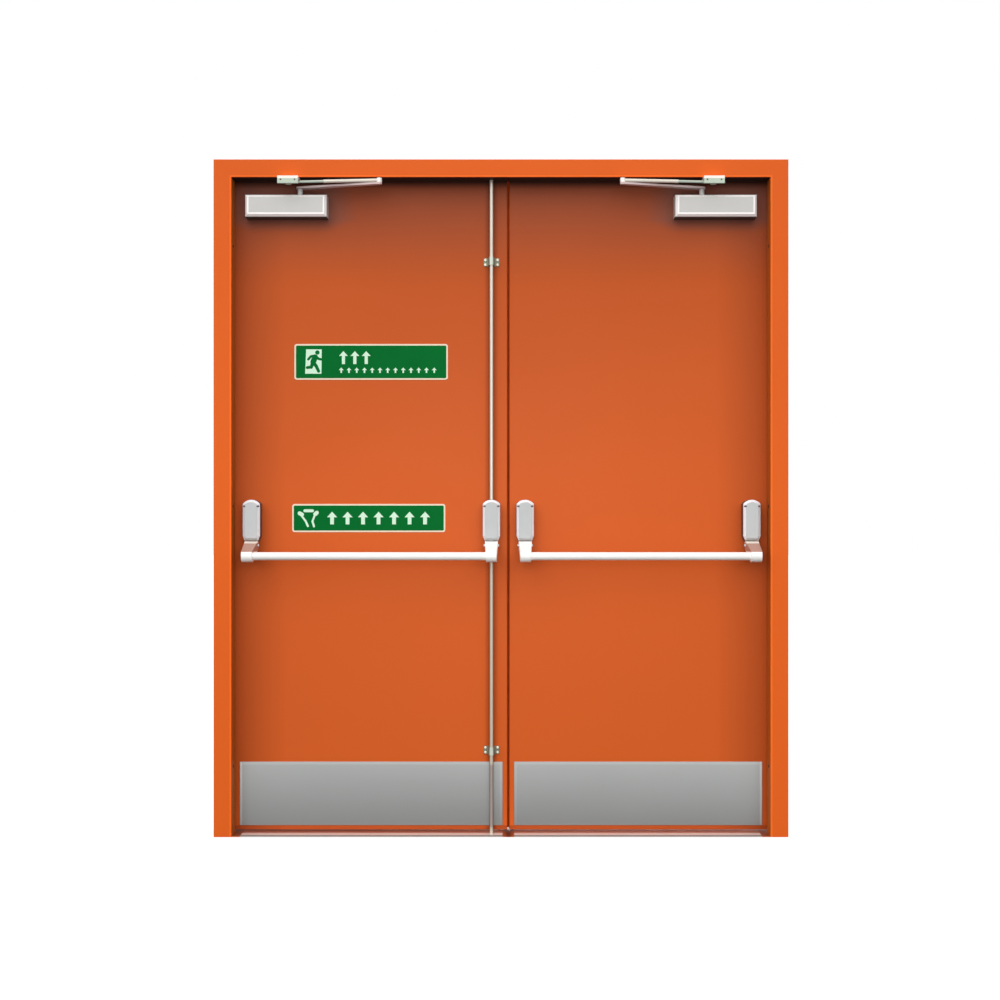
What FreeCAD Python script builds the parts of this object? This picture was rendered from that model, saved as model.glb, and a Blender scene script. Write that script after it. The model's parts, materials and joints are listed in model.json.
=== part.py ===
import FreeCAD, Part
import math
import os

import Sketcher
from FreeCAD import Rotation, Vector

# Pair of fire rated steel doors in a steel frame, in millimetres.
# The origin is on the floor at the middle of the frame, in width and in depth.
# +X is to the right from the push side, +Y runs through the doorway, and +Z is up.

doc = FreeCAD.newDocument("FireDoor")
sheet = doc.addObject("Spreadsheet::Sheet", "Sizes")
nodes = []

# Driving dimensions
sizes = {
    # Frame
    "frameWidth": 1790,  # outside width of the frame
    "frameHeight": 2110,  # outside height of the frame
    "faceWidth": 56,  # face of the jambs and the head
    "frameSheet": 1.5,  # thickness of the frame's sheet
    "revealDepth": 54,  # from the frame's front to the back of its stop
    "stopWidth": 15,  # step from the stop to the rebate
    "returnDepth": 16,  # edge of the frame turned back to the wall
    "bendRadius": 2.4,  # outside radius of the frame's bends
    "anchorRadius": 5.5,  # radius of a wall anchor's hole
    "anchorLast": 265,  # from the frame's top to the highest anchor hole
    "anchorFirst": 215,  # height of the lowest anchor hole
    "thresholdHeight": 3,  # height of the threshold plate
    "thresholdBevel": 1,  # bevel along the threshold's edges
    "sealThickness": 3,  # seal on the stop
    "sealInset": 1.5,  # from the edges of the stop to the seal
    "sealBevel": 2.5,  # slope of the seal's sides
    # Leaves
    "leafThickness": 46,  # thickness of a leaf
    "leafGap": 5,  # gap round a leaf in the rebate
    "sealGap": 5,  # gap from the seal to the leaf
    "floorGap": 5,  # gap from the threshold to the leaf
    "skin": 1.2,  # thickness of a leaf's sheet
    "skinRadius": 2,  # rounded edges of a leaf
    "meetingX": 23.3,  # middle of the meeting gap on the push side
    "meetingGap": 8,  # width of the meeting gap
    "meetingSealGap": 1,  # gap from the meeting seal to the right leaf
    "meetingSealDepth": 14,  # depth of the meeting seal
    "meetingSealBack": 6,  # from the leaves' rear face to the meeting seal
    "meetingSealTaper": 4,  # slope of the meeting seal's sides
    "kickHeight": 201,  # height of a kick plate
    "kickInset": 14,  # from the leaf's edges to the kick plate
    "kickRise": 13,  # from the leaf's lower edge to the kick plate
    "kickSide": 23,  # from the leaf's hinge edge to the kick plate
    "kickThickness": 1.5,  # thickness of a kick plate
    "kickBevel": 1,  # bevel round a kick plate
    # Hinges
    "hingeInset": 230,  # from the leaf's ends to the middle of a hinge
    "hingeHeight": 100,  # height of a hinge
    "leafWing": 52,  # width of a hinge's wing on the leaf
    "wingMargin": 5,  # from a hinge's wing to the frame's outer edge
    "hingePlate": 3,  # thickness of a hinge's wing
    "knuckleRadius": 7,  # radius of a hinge's knuckle
    "knuckleGap": 1.6,  # gap from a knuckle to the other wing
    "hingePinRadius": 4,  # radius of a hinge's pin
    "hingePinFit": 0.3,  # gap round a hinge's pin
    "hingeGap": 0.4,  # gap between the two halves of a hinge
    "hingePinLength": 38,  # length of a hinge's pin above its knuckle
    # Closers
    "closerLength": 256,  # length of a closer
    "closerHeight": 70,  # height of a closer
    "closerDepth": 47,  # depth of a closer
    "closerSide": 48,  # from the leaf's hinge edge to the closer
    "closerBevel": 8,  # bevel round the closer's front
    "spindleEnd": 170,  # from the closer's outer end to the spindle
    "spindleBack": 23,  # from the closer's front to the spindle
    "spindleBoss": 8,  # radius of the spindle's boss
    "spindleRadius": 5,  # radius of the spindle
    "spindleFit": 0.3,  # gap round the spindle
    "spindleStand": 0.5,  # how far the spindle stands out above the arm
    "armRise": 20.9,  # from the closer's top to the arm
    "armThickness": 6,  # thickness of the main arm
    "armHubRadius": 12,  # radius of the arm's end at the spindle
    "armTipRadius": 8,  # radius of both arms' ends at the elbow
    "elbowAlong": 254.5,  # from the spindle to the elbow, along the leaf
    "elbowOut": 61,  # from the spindle to the elbow, out from the leaf
    "elbowGap": 0.4,  # gap between the two arms' ends
    "forearmEye": 13,  # height of the forearm's eyes
    "shoeEyeRadius": 9.6,  # radius of the forearm's eye at the shoe
    "shoeEyeGap": 2.7,  # gap from the forearm's eye to the shoe's top plate
    "forearmRadius": 4,  # radius of the forearm's rod
    "sleeveRadius": 5.2,  # radius of the forearm's sleeve
    "sleeveStart": 110,  # from the shoe's pin to the sleeve
    "shoeWidth": 64,  # width of the closer's shoe
    "shoeDepth": 63,  # depth of the closer's shoe
    "shoeHeight": 23,  # height of the shoe's front
    "shoePlate": 6,  # thickness of the shoe's top
    "shoeFront": 8,  # thickness of the shoe's front
    "shoeOut": 21,  # how far the shoe stands in front of the frame
    "shoeSide": 178,  # from the jamb's stop to the middle of the shoe
    "shoePinBack": 20,  # from the shoe's front to its pin
    "shoePinRadius": 4,  # radius of the shoe's pin
    "shoeCollar": 8,  # radius of the collar above the forearm's eye
    "shoePinFit": 0.3,  # gap round the shoe's pin
    # Push bars
    "caseWidth": 54,  # width of a case
    "caseDepth": 45,  # depth of a case
    "caseRise": 15,  # from the bar's pivot to the lower edge of a case
    "caseTaper": 14,  # height of the tapered lower end
    "caseFoot": 42,  # width of a case at its lower edge
    "caseSides": 115,  # from a case's lower edge to where its arch starts
    "caseArch": 13,  # rise of the arched top
    "caseWall": 3,  # wall of a case
    "caseBevel": 8,  # bevel round a case's front
    "dimpleRadius": 2,  # radius of the fixing dimples in a case's bevel
    "dimpleDepth": 6,  # depth of the dimples, from a case's front
    "dimpleDrop": 7.4,  # from the arch's start down to the upper dimples
    "dimpleSide": 5.5,  # from a case's sides to the upper dimples
    "dimpleRise": 4.5,  # from a case's lower edge to the lower dimples
    "dimpleInset": 10.5,  # from a case's lower corners to the lower dimples
    "leftCaseSide": 67,  # from the left leaf's hinge edge to its outer case
    "rightCaseSide": 63,  # from the right leaf's hinge edge to its outer case
    "innerCaseSide": 48.7,  # from the right leaf's meeting edge to its inner case
    "boltSide": 49.3,  # from the left leaf's meeting edge to the bolt rods
    "pivotHeight": 907,  # height of the bar's pivot
    "pivotOut": 35,  # from the leaf's face to the bar's pivot
    "pivotRadius": 4,  # radius of the pivot pin
    "pivotFit": 0.3,  # gap round the pivot pin
    "pivotNub": 3.5,  # how far the pivot pin stands out
    "lugRadius": 8,  # radius of the lugs round the pin
    "lugInner": 8,  # from the middle of a case to a lug
    "lugThickness": 4,  # thickness of a lug
    "lugRoot": 12,  # depth of the lugs where they rise to the case
    "barAlong": 65,  # from the pivot to the bar, out from the leaf
    "barDown": 31,  # from the pivot to the bar, downwards
    "barRadius": 12.5,  # radius of the bar
    "barWall": 2,  # wall of the bar
    "armWidth": 41,  # width of a bar's arm at its pivot
    "armFootWidth": 32,  # width of a bar's arm at the bar
    "armRadius": 13,  # radius of a bar's arm at its pivot
    "armFootRadius": 18.5,  # radius of a bar's arm at the bar
    "armWeb": 3,  # wall of a bar's arm
    "armBlock": 9,  # solid part of the arm round the bar
    "barSeat": 13,  # how far the bar runs into its arms
    # Bolt rods
    "rodRadius": 6,  # radius of a bolt rod
    "rodOut": 22,  # from the leaf's face to the rods
    "rodFit": 1,  # gap round a rod in the frame and in a case
    "guideFit": 0.4,  # gap round a rod in its guides
    "rodTip": 1.5,  # bevel of a rod's outer end
    "rodThrow": 8,  # how far the top rod stands in the head
    "rodFloor": 0.5,  # height of the bottom rod's end
    "topRodInside": 83,  # from the case's lower edge to the top rod's lower end
    "bottomRodInside": 27,  # from the case's lower edge to the bottom rod's upper end
    "keeperWidth": 50,  # width of the keeper plate in the head
    "keeperDepth": 30,  # depth of the keeper plate in the head
    "keeperThickness": 4,  # thickness of the keeper plate in the head
    "guideWidth": 50,  # width of a rod guide's plate
    "guideHeight": 25,  # height of a rod guide
    "guidePlate": 3,  # thickness of a rod guide's plate
    "guideWall": 3.2,  # wall of a rod guide round the rod
    "upperGuideDrop": 264,  # from the leaf's top to the upper rod guide
    "lowerGuideRise": 38,  # from the kick plate's top to the lower rod guide
    # Signs
    "signThickness": 2,  # thickness of the sign plates
    "signRadius": 7,  # rounded corners of the sign plates
    "upperSignSide": 196.1,  # from the leaf's hinge edge to the upper sign
    "upperSignWidth": 485,  # width of the upper sign
    "upperSignHeight": 113,  # height of the upper sign
    "lowerSignSide": 189.1,  # from the leaf's hinge edge to the lower sign
    "lowerSignRise": 40.8,  # from the bar's pivot to the lower sign
    "lowerSignWidth": 484,  # width of the lower sign
    "lowerSignHeight": 89,  # height of the lower sign
}

for row, (alias, number) in enumerate(sizes.items(), 1):
    sheet.set("A" + str(row), alias)
    sheet.set("B" + str(row), str(number))
    sheet.setAlias("B" + str(row), alias)
doc.recompute()

# Places that several pieces share, as expressions on the sheet
frameDepth = "(Sizes.revealDepth + Sizes.sealThickness + Sizes.sealGap + Sizes.leafThickness)"
frontY = f"(-{frameDepth} / 2)"
rearY = f"({frameDepth} / 2)"
stopY = f"({frontY} + Sizes.revealDepth)"
outerX = "(Sizes.frameWidth / 2)"
stopX = f"({outerX} - Sizes.faceWidth)"
rebateX = f"({stopX} + Sizes.stopWidth)"
stopZ = "(Sizes.frameHeight - Sizes.faceWidth)"
rebateZ = f"({stopZ} + Sizes.stopWidth)"
leafX = f"({rebateX} - Sizes.leafGap)"
leafBottom = "(Sizes.thresholdHeight + Sizes.floorGap)"
leafTop = f"({rebateZ} - Sizes.leafGap)"
leafHeight = f"({leafTop} - {leafBottom})"
pushY = f"({rearY} - Sizes.leafThickness)"
seamY = f"({pushY} + Sizes.leafThickness / 2)"
leftMeetX = "(Sizes.meetingX - Sizes.meetingGap / 2)"
rightMeetX = "(Sizes.meetingX + Sizes.meetingGap / 2)"
hingeX = f"({rebateX} - Sizes.leafGap / 2)"
hingeY = f"({rearY} + Sizes.knuckleRadius)"
wingRoot = "(Sizes.knuckleRadius + Sizes.knuckleGap)"
frameWing = f"({outerX} - Sizes.wingMargin - {hingeX} - {wingRoot})"
anchorPitch = "((Sizes.frameHeight - Sizes.anchorFirst - Sizes.anchorLast) / 2)"
forearmZ = f"({stopZ} - Sizes.shoePlate - Sizes.shoeEyeGap - Sizes.forearmEye)"
armZ = f"({forearmZ} - Sizes.elbowGap - Sizes.armThickness)"
closerTop = f"({armZ} - Sizes.armRise)"
closerX = f"({leafX} - Sizes.closerSide - Sizes.closerLength)"
spindleX = f"({leafX} - Sizes.closerSide - Sizes.spindleEnd)"
spindleY = f"({pushY} - Sizes.closerDepth + Sizes.spindleBack)"
elbowX = f"({spindleX} - Sizes.elbowAlong)"
elbowY = f"({spindleY} - Sizes.elbowOut)"
shoeX = f"({stopX} - Sizes.shoeSide)"
shoeY = f"({frontY} - Sizes.shoeOut)"
shoePinY = f"({shoeY} + Sizes.shoePinBack)"
pivotY = f"({pushY} - Sizes.pivotOut)"
rodY = f"({pushY} - Sizes.rodOut)"
barReach = "sqrt(Sizes.barAlong ^ 2 + Sizes.barDown ^ 2)"
openBolt = "(Sizes.rodRadius + Sizes.rodFit)"
boltX = f"({leftMeetX} - Sizes.boltSide)"
leftCaseX = f"(-{leafX} + Sizes.leftCaseSide)"
rightCaseX = f"({leafX} - Sizes.rightCaseSide)"
innerCaseX = f"({rightMeetX} + Sizes.innerCaseSide)"
caseBottom = "(Sizes.pivotHeight + Sizes.caseRise)"
caseShoulder = f"({caseBottom} + Sizes.caseSides)"
kickLow = f"({leafBottom} + Sizes.kickRise)"
lowerSignLow = "(Sizes.pivotHeight + Sizes.lowerSignRise)"
signSpan = f"({closerTop} - Sizes.closerHeight - {lowerSignLow} - Sizes.lowerSignHeight)"
upperSignLow = f"({lowerSignLow} + Sizes.lowerSignHeight + ({signSpan} - Sizes.upperSignHeight) / 2)"
overrun = 1  # how far a cutter runs past what it cuts
evenSlope = "-45 deg"  # a bevel as wide as it is deep


def value(expression):
    """Number that an expression on the sheet gives now."""
    return float(sheet.evalExpression(str(expression)))


def newBody(label):
    body = doc.addObject("PartDesign::Body", label)
    body.Label = label
    nodes.append(body)
    return body


def newSketch(body, name, plane, offset="0"):
    """Sketch on one of the body's own origin planes, moved along its normal."""
    sketch = body.newObject("Sketcher::SketchObject", name)
    support = [item for item in body.Origin.OriginFeatures if item.Role == plane][0]
    sketch.AttachmentSupport = [(support, "")]
    sketch.MapMode = "FlatFace"
    sketch.setExpression("AttachmentOffset.Base.z", str(offset))
    return sketch


def tie(sketch, kind, geometry, point, expression):
    """Hold a point of the sketch at a distance from the sketch's origin."""
    number = sketch.addConstraint(
        Sketcher.Constraint(kind, -1, 1, geometry, point, value(expression)))
    sketch.setExpression(f"Constraints[{number}]", str(expression))


def outline(sketch, corners):
    """Closed loop through (across, up) corners; a third entry bows the next edge outwards."""
    first = sketch.GeometryCount
    count = len(corners)
    places = [Vector(value(corner[0]), value(corner[1]), 0) for corner in corners]
    area = sum(a.x * b.y - b.x * a.y for a, b in zip(places, places[1:] + places[:1]))
    turn = 1 if area > 0 else -1
    ends = []
    for index, corner in enumerate(corners):
        start = places[index]
        end = places[(index + 1) % count]
        if len(corner) == 2:
            sketch.addGeometry(Part.LineSegment(start, end), False)
            ends.append((1, 2))
            continue
        radius = value(corner[2])
        chord = end - start
        side = Vector(-chord.y, chord.x, 0).normalize() * turn
        centre = (start + end) * 0.5 + side * math.sqrt(radius ** 2 - (chord.Length / 2) ** 2)
        low, high = (start, end) if turn > 0 else (end, start)
        begin = math.atan2(low.y - centre.y, low.x - centre.x)
        finish = math.atan2(high.y - centre.y, high.x - centre.x)
        arc = Part.ArcOfCircle(Part.Circle(centre, Vector(0, 0, 1), radius), begin, finish)
        sketch.addGeometry(arc, False)
        ends.append((1, 2) if turn > 0 else (2, 1))
        number = sketch.addConstraint(Sketcher.Constraint("Radius", first + index, radius))
        sketch.setExpression(f"Constraints[{number}]", str(corner[2]))
    for index in range(count):
        after = (index + 1) % count
        sketch.addConstraint(Sketcher.Constraint(
            "Coincident", first + index, ends[index][1], first + after, ends[after][0]))
    for index, corner in enumerate(corners):
        tie(sketch, "DistanceX", first + index, ends[index][0], corner[0])
        tie(sketch, "DistanceY", first + index, ends[index][0], corner[1])


def rectangle(sketch, left, right, low, high):
    outline(sketch, [(left, low), (right, low), (right, high), (left, high)])


def circle(sketch, across, up, radius):
    index = sketch.addGeometry(
        Part.Circle(Vector(value(across), value(up), 0), Vector(0, 0, 1), value(radius)), False)
    tie(sketch, "DistanceX", index, 3, across)
    tie(sketch, "DistanceY", index, 3, up)
    number = sketch.addConstraint(Sketcher.Constraint("Radius", index, value(radius)))
    sketch.setExpression(f"Constraints[{number}]", str(radius))


def link(sketch, length, startRadius, endRadius):
    """Round-ended link from the origin along the sketch's first axis, tapered by its radii."""
    reach = value(length)
    near = value(startRadius)
    far = value(endRadius)
    lean = math.acos((near - far) / reach)
    up = Vector(math.cos(lean), math.sin(lean), 0)
    down = Vector(math.cos(lean), -math.sin(lean), 0)
    tip = Vector(reach, 0, 0)
    normal = Vector(0, 0, 1)
    sketch.addGeometry([
        Part.ArcOfCircle(Part.Circle(Vector(), normal, near), lean, 2 * math.pi - lean),
        Part.LineSegment(down * near, tip + down * far),
        Part.ArcOfCircle(Part.Circle(tip, normal, far), -lean, lean),
        Part.LineSegment(tip + up * far, up * near)], False)
    sketch.addConstraint([
        Sketcher.Constraint("Tangent", 0, 2, 1, 1),
        Sketcher.Constraint("Tangent", 1, 2, 2, 1),
        Sketcher.Constraint("Tangent", 2, 2, 3, 1),
        Sketcher.Constraint("Tangent", 3, 2, 0, 1),
        Sketcher.Constraint("Coincident", 0, 3, -1, 1)])
    tie(sketch, "DistanceX", 2, 3, length)
    tie(sketch, "DistanceY", 2, 3, "0")
    for index, radius in ((0, startRadius), (2, endRadius)):
        number = sketch.addConstraint(Sketcher.Constraint("Radius", index, value(radius)))
        sketch.setExpression(f"Constraints[{number}]", str(radius))


def pad(body, sketch, length):
    feature = body.newObject("PartDesign::Pad", sketch.Name + "Pad")
    feature.Profile = sketch
    feature.setExpression("Length", str(length))
    sketch.Visibility = False
    doc.recompute()
    return feature


def pocket(body, sketch, length, backwards=False):
    """Cut the sketch against its normal, or along it when backwards, and check that it cut."""
    before = body.Shape.Volume
    feature = body.newObject("PartDesign::Pocket", sketch.Name + "Pocket")
    feature.Profile = sketch
    feature.setExpression("Length", str(length))
    feature.Reversed = backwards
    sketch.Visibility = False
    doc.recompute()
    if body.Shape.Volume > before - 0.01:
        raise RuntimeError(f"{sketch.Name} cut nothing from {body.Label}")
    return feature


def near(first, second):
    return abs(first - second) < 0.01


def edgesAlong(feature, direction, test):
    """Names of the straight edges along a direction whose middle passes the test."""
    names = []
    for index, edge in enumerate(feature.Shape.Edges, 1):
        if edge.Curve.TypeId != "Part::GeomLine":
            continue
        if abs(abs(edge.Curve.Direction.dot(direction)) - 1) > 0.001:
            continue
        if test(edge.CenterOfMass):
            names.append("Edge" + str(index))
    return names


def dress(body, kind, feature, names, amount):
    """Fillet or chamfer on named edges, as far as the wall allows."""
    finish = body.newObject("PartDesign::" + kind, body.Name + kind)
    finish.Base = (feature, names)
    finish.setExpression("Radius" if kind == "Fillet" else "Size", str(amount))
    doc.recompute()
    return finish


alongX = Vector(1, 0, 0)
alongY = Vector(0, 1, 0)
alongZ = Vector(0, 0, 1)


def foldedSection(side, out, stop, rebate, swapped):
    """Corners of the frame's folded sheet, across the wall side and through the depth."""
    wall = "Sizes.frameSheet"
    places = [
        (out, f"({frontY} + Sizes.returnDepth)"),
        (out, frontY),
        (stop, frontY),
        (stop, stopY),
        (rebate, stopY),
        (rebate, rearY),
        (out, rearY),
        (out, f"({rearY} - Sizes.returnDepth)"),
        (f"({out} - {wall})", f"({rearY} - Sizes.returnDepth)"),
        (f"({out} - {wall})", f"({rearY} - {wall})"),
        (f"({rebate} + {wall})", f"({rearY} - {wall})"),
        (f"({rebate} + {wall})", f"({stopY} - {wall})"),
        (f"({stop} + {wall})", f"({stopY} - {wall})"),
        (f"({stop} + {wall})", f"({frontY} + {wall})"),
        (f"({out} - {wall})", f"({frontY} + {wall})"),
        (f"({out} - {wall})", f"({frontY} + Sizes.returnDepth)"),
    ]
    if swapped:
        return [(depth, across) for across, depth in places]
    return [(f"({side} * {across})", depth) for across, depth in places]


def bendTest(across, side, out, stop, rebate):
    """Test for the five outer bends of the folded section."""
    outer = value(out)
    inner = value(stop)
    middle = value(rebate)
    front = value(frontY)
    back = value(rearY)
    step = value(stopY)
    bends = [(outer, front), (inner, front), (inner, step), (middle, back), (outer, back)]

    def test(point):
        place = side * across(point)
        return any(near(place, bend[0]) and near(point.y, bend[1]) for bend in bends)

    return test


mitreReach = "(Sizes.faceWidth + Sizes.stopWidth)"


# Jambs: one folded sheet each, mitred to the head and drilled for three wall anchors
def makeJamb(label, side):
    body = newBody(label)
    section = newSketch(body, label + "Section", "XY_Plane")
    outline(section, foldedSection(side, outerX, stopX, rebateX, False))
    rise = pad(body, section, "Sizes.frameHeight")
    bends = edgesAlong(rise, alongZ, bendTest(lambda point: point.x, side, outerX, stopX, rebateX))
    dress(body, "Fillet", rise, bends, "Sizes.bendRadius")
    mitre = newSketch(body, label + "Mitre", "XZ_Plane", f"{frameDepth}")
    outline(mitre, [
        (f"{side} * {outerX}", "Sizes.frameHeight"),
        (f"{side} * ({outerX} - {mitreReach})", f"Sizes.frameHeight - {mitreReach}"),
        (f"{side} * ({outerX} - {mitreReach})", "Sizes.frameHeight")])
    pocket(body, mitre, f"2 * {frameDepth}")
    drill = newSketch(body, label + "Anchor", "YZ_Plane", f"{side} * {stopX} - Sizes.stopWidth / 2")
    circle(drill, f"({frontY} + Sizes.revealDepth / 2)", "Sizes.anchorFirst", "Sizes.anchorRadius")
    hole = pocket(body, drill, "Sizes.stopWidth", True)
    row = body.newObject("PartDesign::LinearPattern", label + "Anchors")
    row.Originals = [hole]
    row.Direction = (drill, ["V_Axis"])
    row.Occurrences = 3
    row.setExpression("Length", f"2 * {anchorPitch}")
    body.Tip = row
    doc.recompute()


makeJamb("left_jamb", -1)
makeJamb("right_jamb", 1)


# Head: the same fold across the top, mitred at both ends, with the bolt's hole in its soffit
def makeHead():
    body = newBody("frame_head")
    section = newSketch(body, "headSection", "YZ_Plane", f"-{outerX}")
    outline(section, foldedSection(1, "Sizes.frameHeight", stopZ, rebateZ, True))
    span = pad(body, section, "Sizes.frameWidth")
    test = bendTest(lambda point: point.z, 1, "Sizes.frameHeight", stopZ, rebateZ)
    dress(body, "Fillet", span, edgesAlong(span, alongX, test), "Sizes.bendRadius")
    mitre = newSketch(body, "headMitre", "XZ_Plane", f"{frameDepth}")
    for side in (-1, 1):
        outline(mitre, [
            (f"{side} * {outerX}", "Sizes.frameHeight"),
            (f"{side} * ({outerX} - {mitreReach})", f"Sizes.frameHeight - {mitreReach}"),
            (f"{side} * {outerX}", f"Sizes.frameHeight - {mitreReach}")])
    pocket(body, mitre, f"2 * {frameDepth}")
    drill = newSketch(body, "headBoltHole", "XY_Plane", f"{stopZ} - Sizes.stopWidth / 2")
    circle(drill, boltX, rodY, openBolt)
    pocket(body, drill, "Sizes.stopWidth", True)


makeHead()


# Keeper plate that backs the soffit round the top bolt
def makeKeeper():
    body = newBody("head_bolt_keeper")
    plan = newSketch(body, "keeperPlan", "XY_Plane", f"{stopZ} + Sizes.frameSheet")
    rectangle(
        plan, f"{boltX} - Sizes.keeperWidth / 2", f"{boltX} + Sizes.keeperWidth / 2",
        f"{stopY} - Sizes.frameSheet - Sizes.keeperDepth", f"{stopY} - Sizes.frameSheet")
    circle(plan, boltX, rodY, openBolt)
    pad(body, plan, "Sizes.keeperThickness")


makeKeeper()


# Threshold: a low plate between the jambs, with the bottom bolt's hole
def makeThreshold():
    body = newBody("threshold")
    plan = newSketch(body, "thresholdPlan", "XY_Plane")
    outline(plan, [
        (f"-{stopX}", frontY), (stopX, frontY), (stopX, stopY), (rebateX, stopY),
        (rebateX, rearY), (f"-{rebateX}", rearY), (f"-{rebateX}", stopY), (f"-{stopX}", stopY)])
    circle(plan, boltX, rodY, openBolt)
    slab = pad(body, plan, "Sizes.thresholdHeight")
    top = value("Sizes.thresholdHeight")
    edges = (value(frontY), value(rearY))
    names = edgesAlong(slab, alongX, lambda point: near(point.z, top) and any(
        near(point.y, edge) for edge in edges))
    dress(body, "Chamfer", slab, names, "Sizes.thresholdBevel")


makeThreshold()


# Seals: a low strip with sloped sides on the back of the stop
def sealProfile(inner, outer):
    bevel = "Sizes.sealBevel"
    crest = f"({stopY} + Sizes.sealThickness)"
    return [
        (inner, stopY), (outer, stopY),
        (f"({outer} - {bevel})", crest), (f"({inner} + {bevel})", crest)]


def makeJambSeal(label, side):
    body = newBody(label)
    section = newSketch(body, label + "Section", "XY_Plane", "Sizes.thresholdHeight")
    corners = sealProfile(f"({stopX} + Sizes.sealInset)", f"({rebateX} - Sizes.sealInset)")
    outline(section, [(f"{side} * {across}", depth) for across, depth in corners])
    pad(body, section, f"{stopZ} + Sizes.sealInset - Sizes.thresholdHeight")


def makeHeadSeal():
    body = newBody("head_seal")
    section = newSketch(body, "headSealSection", "YZ_Plane", f"-({rebateX} - Sizes.sealInset)")
    corners = sealProfile(f"({stopZ} + Sizes.sealInset)", f"({rebateZ} - Sizes.sealInset)")
    outline(section, [(depth, across) for across, depth in corners])
    pad(body, section, f"2 * ({rebateX} - Sizes.sealInset)")


makeJambSeal("left_jamb_seal", -1)
makeJambSeal("right_jamb_seal", 1)
makeHeadSeal()


# Leaves: two folded trays that meet at a seam round the edge, with a core between them
def makeTray(label, edgeX, endX, faceY, inward):
    """inward is the way from the tray's face to the seam: 1 on the push side, -1 on the other."""
    left, right = (edgeX, endX) if value(edgeX) < value(endX) else (endX, edgeX)
    body = newBody(label)
    plan = newSketch(body, label + "Plan", "XY_Plane", leafBottom)
    rectangle(plan, left, right, faceY, seamY)
    block = pad(body, plan, leafHeight)
    corners = [(value(edgeX), value(faceY)), (value(endX), value(faceY))]
    names = edgesAlong(block, alongZ, lambda point: any(
        near(point.x, corner[0]) and near(point.y, corner[1]) for corner in corners))
    dress(body, "Fillet", block, names, "Sizes.skinRadius")
    inside = newSketch(body, label + "Inside", "XY_Plane", f"{leafBottom} + Sizes.skin")
    rectangle(inside, f"{left} + Sizes.skin", f"{right} - Sizes.skin",
              f"{faceY} + {inward} * Sizes.skin", seamY)
    pocket(body, inside, f"{leafHeight} - 2 * Sizes.skin", True)


def makeLeaf(name, edgeX, endX):
    makeTray(name + "_push_skin", edgeX, endX, pushY, 1)
    makeTray(name + "_pull_skin", edgeX, endX, rearY, -1)
    left, right = (edgeX, endX) if value(edgeX) < value(endX) else (endX, edgeX)
    core = newBody(name + "_core")
    plan = newSketch(core, name + "CorePlan", "XY_Plane", f"{leafBottom} + Sizes.skin")
    rectangle(plan, f"{left} + Sizes.skin", f"{right} - Sizes.skin",
              f"{pushY} + Sizes.skin", f"{rearY} - Sizes.skin")
    pad(core, plan, f"{leafHeight} - 2 * Sizes.skin")


makeLeaf("left_leaf", f"(-{leafX})", leftMeetX)
makeLeaf("right_leaf", leafX, rightMeetX)


# Meeting seal: a tapered strip on the left leaf's edge that closes the gap between the leaves
def makeMeetingSeal():
    body = newBody("meeting_seal")
    back = f"({rearY} - Sizes.meetingSealBack)"
    front = f"({back} - Sizes.meetingSealDepth)"
    crest = f"({rightMeetX} - Sizes.meetingSealGap)"
    plan = newSketch(body, "meetingSealPlan", "XY_Plane", leafBottom)
    outline(plan, [
        (leftMeetX, front), (crest, f"({front} + Sizes.meetingSealTaper)"),
        (crest, f"({back} - Sizes.meetingSealTaper)"), (leftMeetX, back)])
    pad(body, plan, leafHeight)


makeMeetingSeal()


# Kick plates and signs: thin plates on the push side
def makePlate(label, left, width, low, height, thickness):
    body = newBody(label)
    face = newSketch(body, label + "Face", "XZ_Plane", f"-{pushY}")
    rectangle(face, left, f"({left} + {width})", low, f"({low} + {height})")
    return body, pad(body, face, thickness)


def makeKickPlate(label, left, width):
    body, plate = makePlate(label, left, width, kickLow, "Sizes.kickHeight", "Sizes.kickThickness")
    front = value(f"{pushY} - Sizes.kickThickness")
    rim = ["Edge" + str(index) for index, edge in enumerate(plate.Shape.Edges, 1)
           if near(edge.CenterOfMass.y, front)]
    dress(body, "Chamfer", plate, rim, "Sizes.kickBevel")


def makeSignPlate(label, left, width, low, height):
    body, plate = makePlate(label, left, width, low, height, "Sizes.signThickness")
    corners = edgesAlong(plate, alongY, lambda point: True)
    dress(body, "Fillet", plate, corners, "Sizes.signRadius")


makeKickPlate(
    "left_kick_plate", f"(-{leafX} + Sizes.kickSide)",
    f"({leafX} - Sizes.kickSide + {leftMeetX} - Sizes.kickInset)")
makeKickPlate(
    "right_kick_plate", f"({rightMeetX} + Sizes.kickInset)",
    f"({leafX} - Sizes.kickSide - {rightMeetX} - Sizes.kickInset)")
makeSignPlate(
    "upper_sign", f"(-{leafX} + Sizes.upperSignSide)", "Sizes.upperSignWidth", upperSignLow,
    "Sizes.upperSignHeight")
makeSignPlate(
    "lower_sign", f"(-{leafX} + Sizes.lowerSignSide)", "Sizes.lowerSignWidth", lowerSignLow,
    "Sizes.lowerSignHeight")


# Hinges: a frame half with the pin and a leaf half with the bore, three to a leaf
hingeHeights = [
    f"({leafBottom} + Sizes.hingeInset)",
    f"(({leafBottom} + {leafTop}) / 2)",
    f"({leafTop} - Sizes.hingeInset)"]


def cylinder(name, across, depth, low, radius, height):
    solid = doc.addObject("Part::Cylinder", name)
    solid.setExpression("Radius", str(radius))
    solid.setExpression("Height", str(height))
    solid.setExpression("Placement.Base.x", str(across))
    solid.setExpression("Placement.Base.y", str(depth))
    solid.setExpression("Placement.Base.z", str(low))
    return solid


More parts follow.
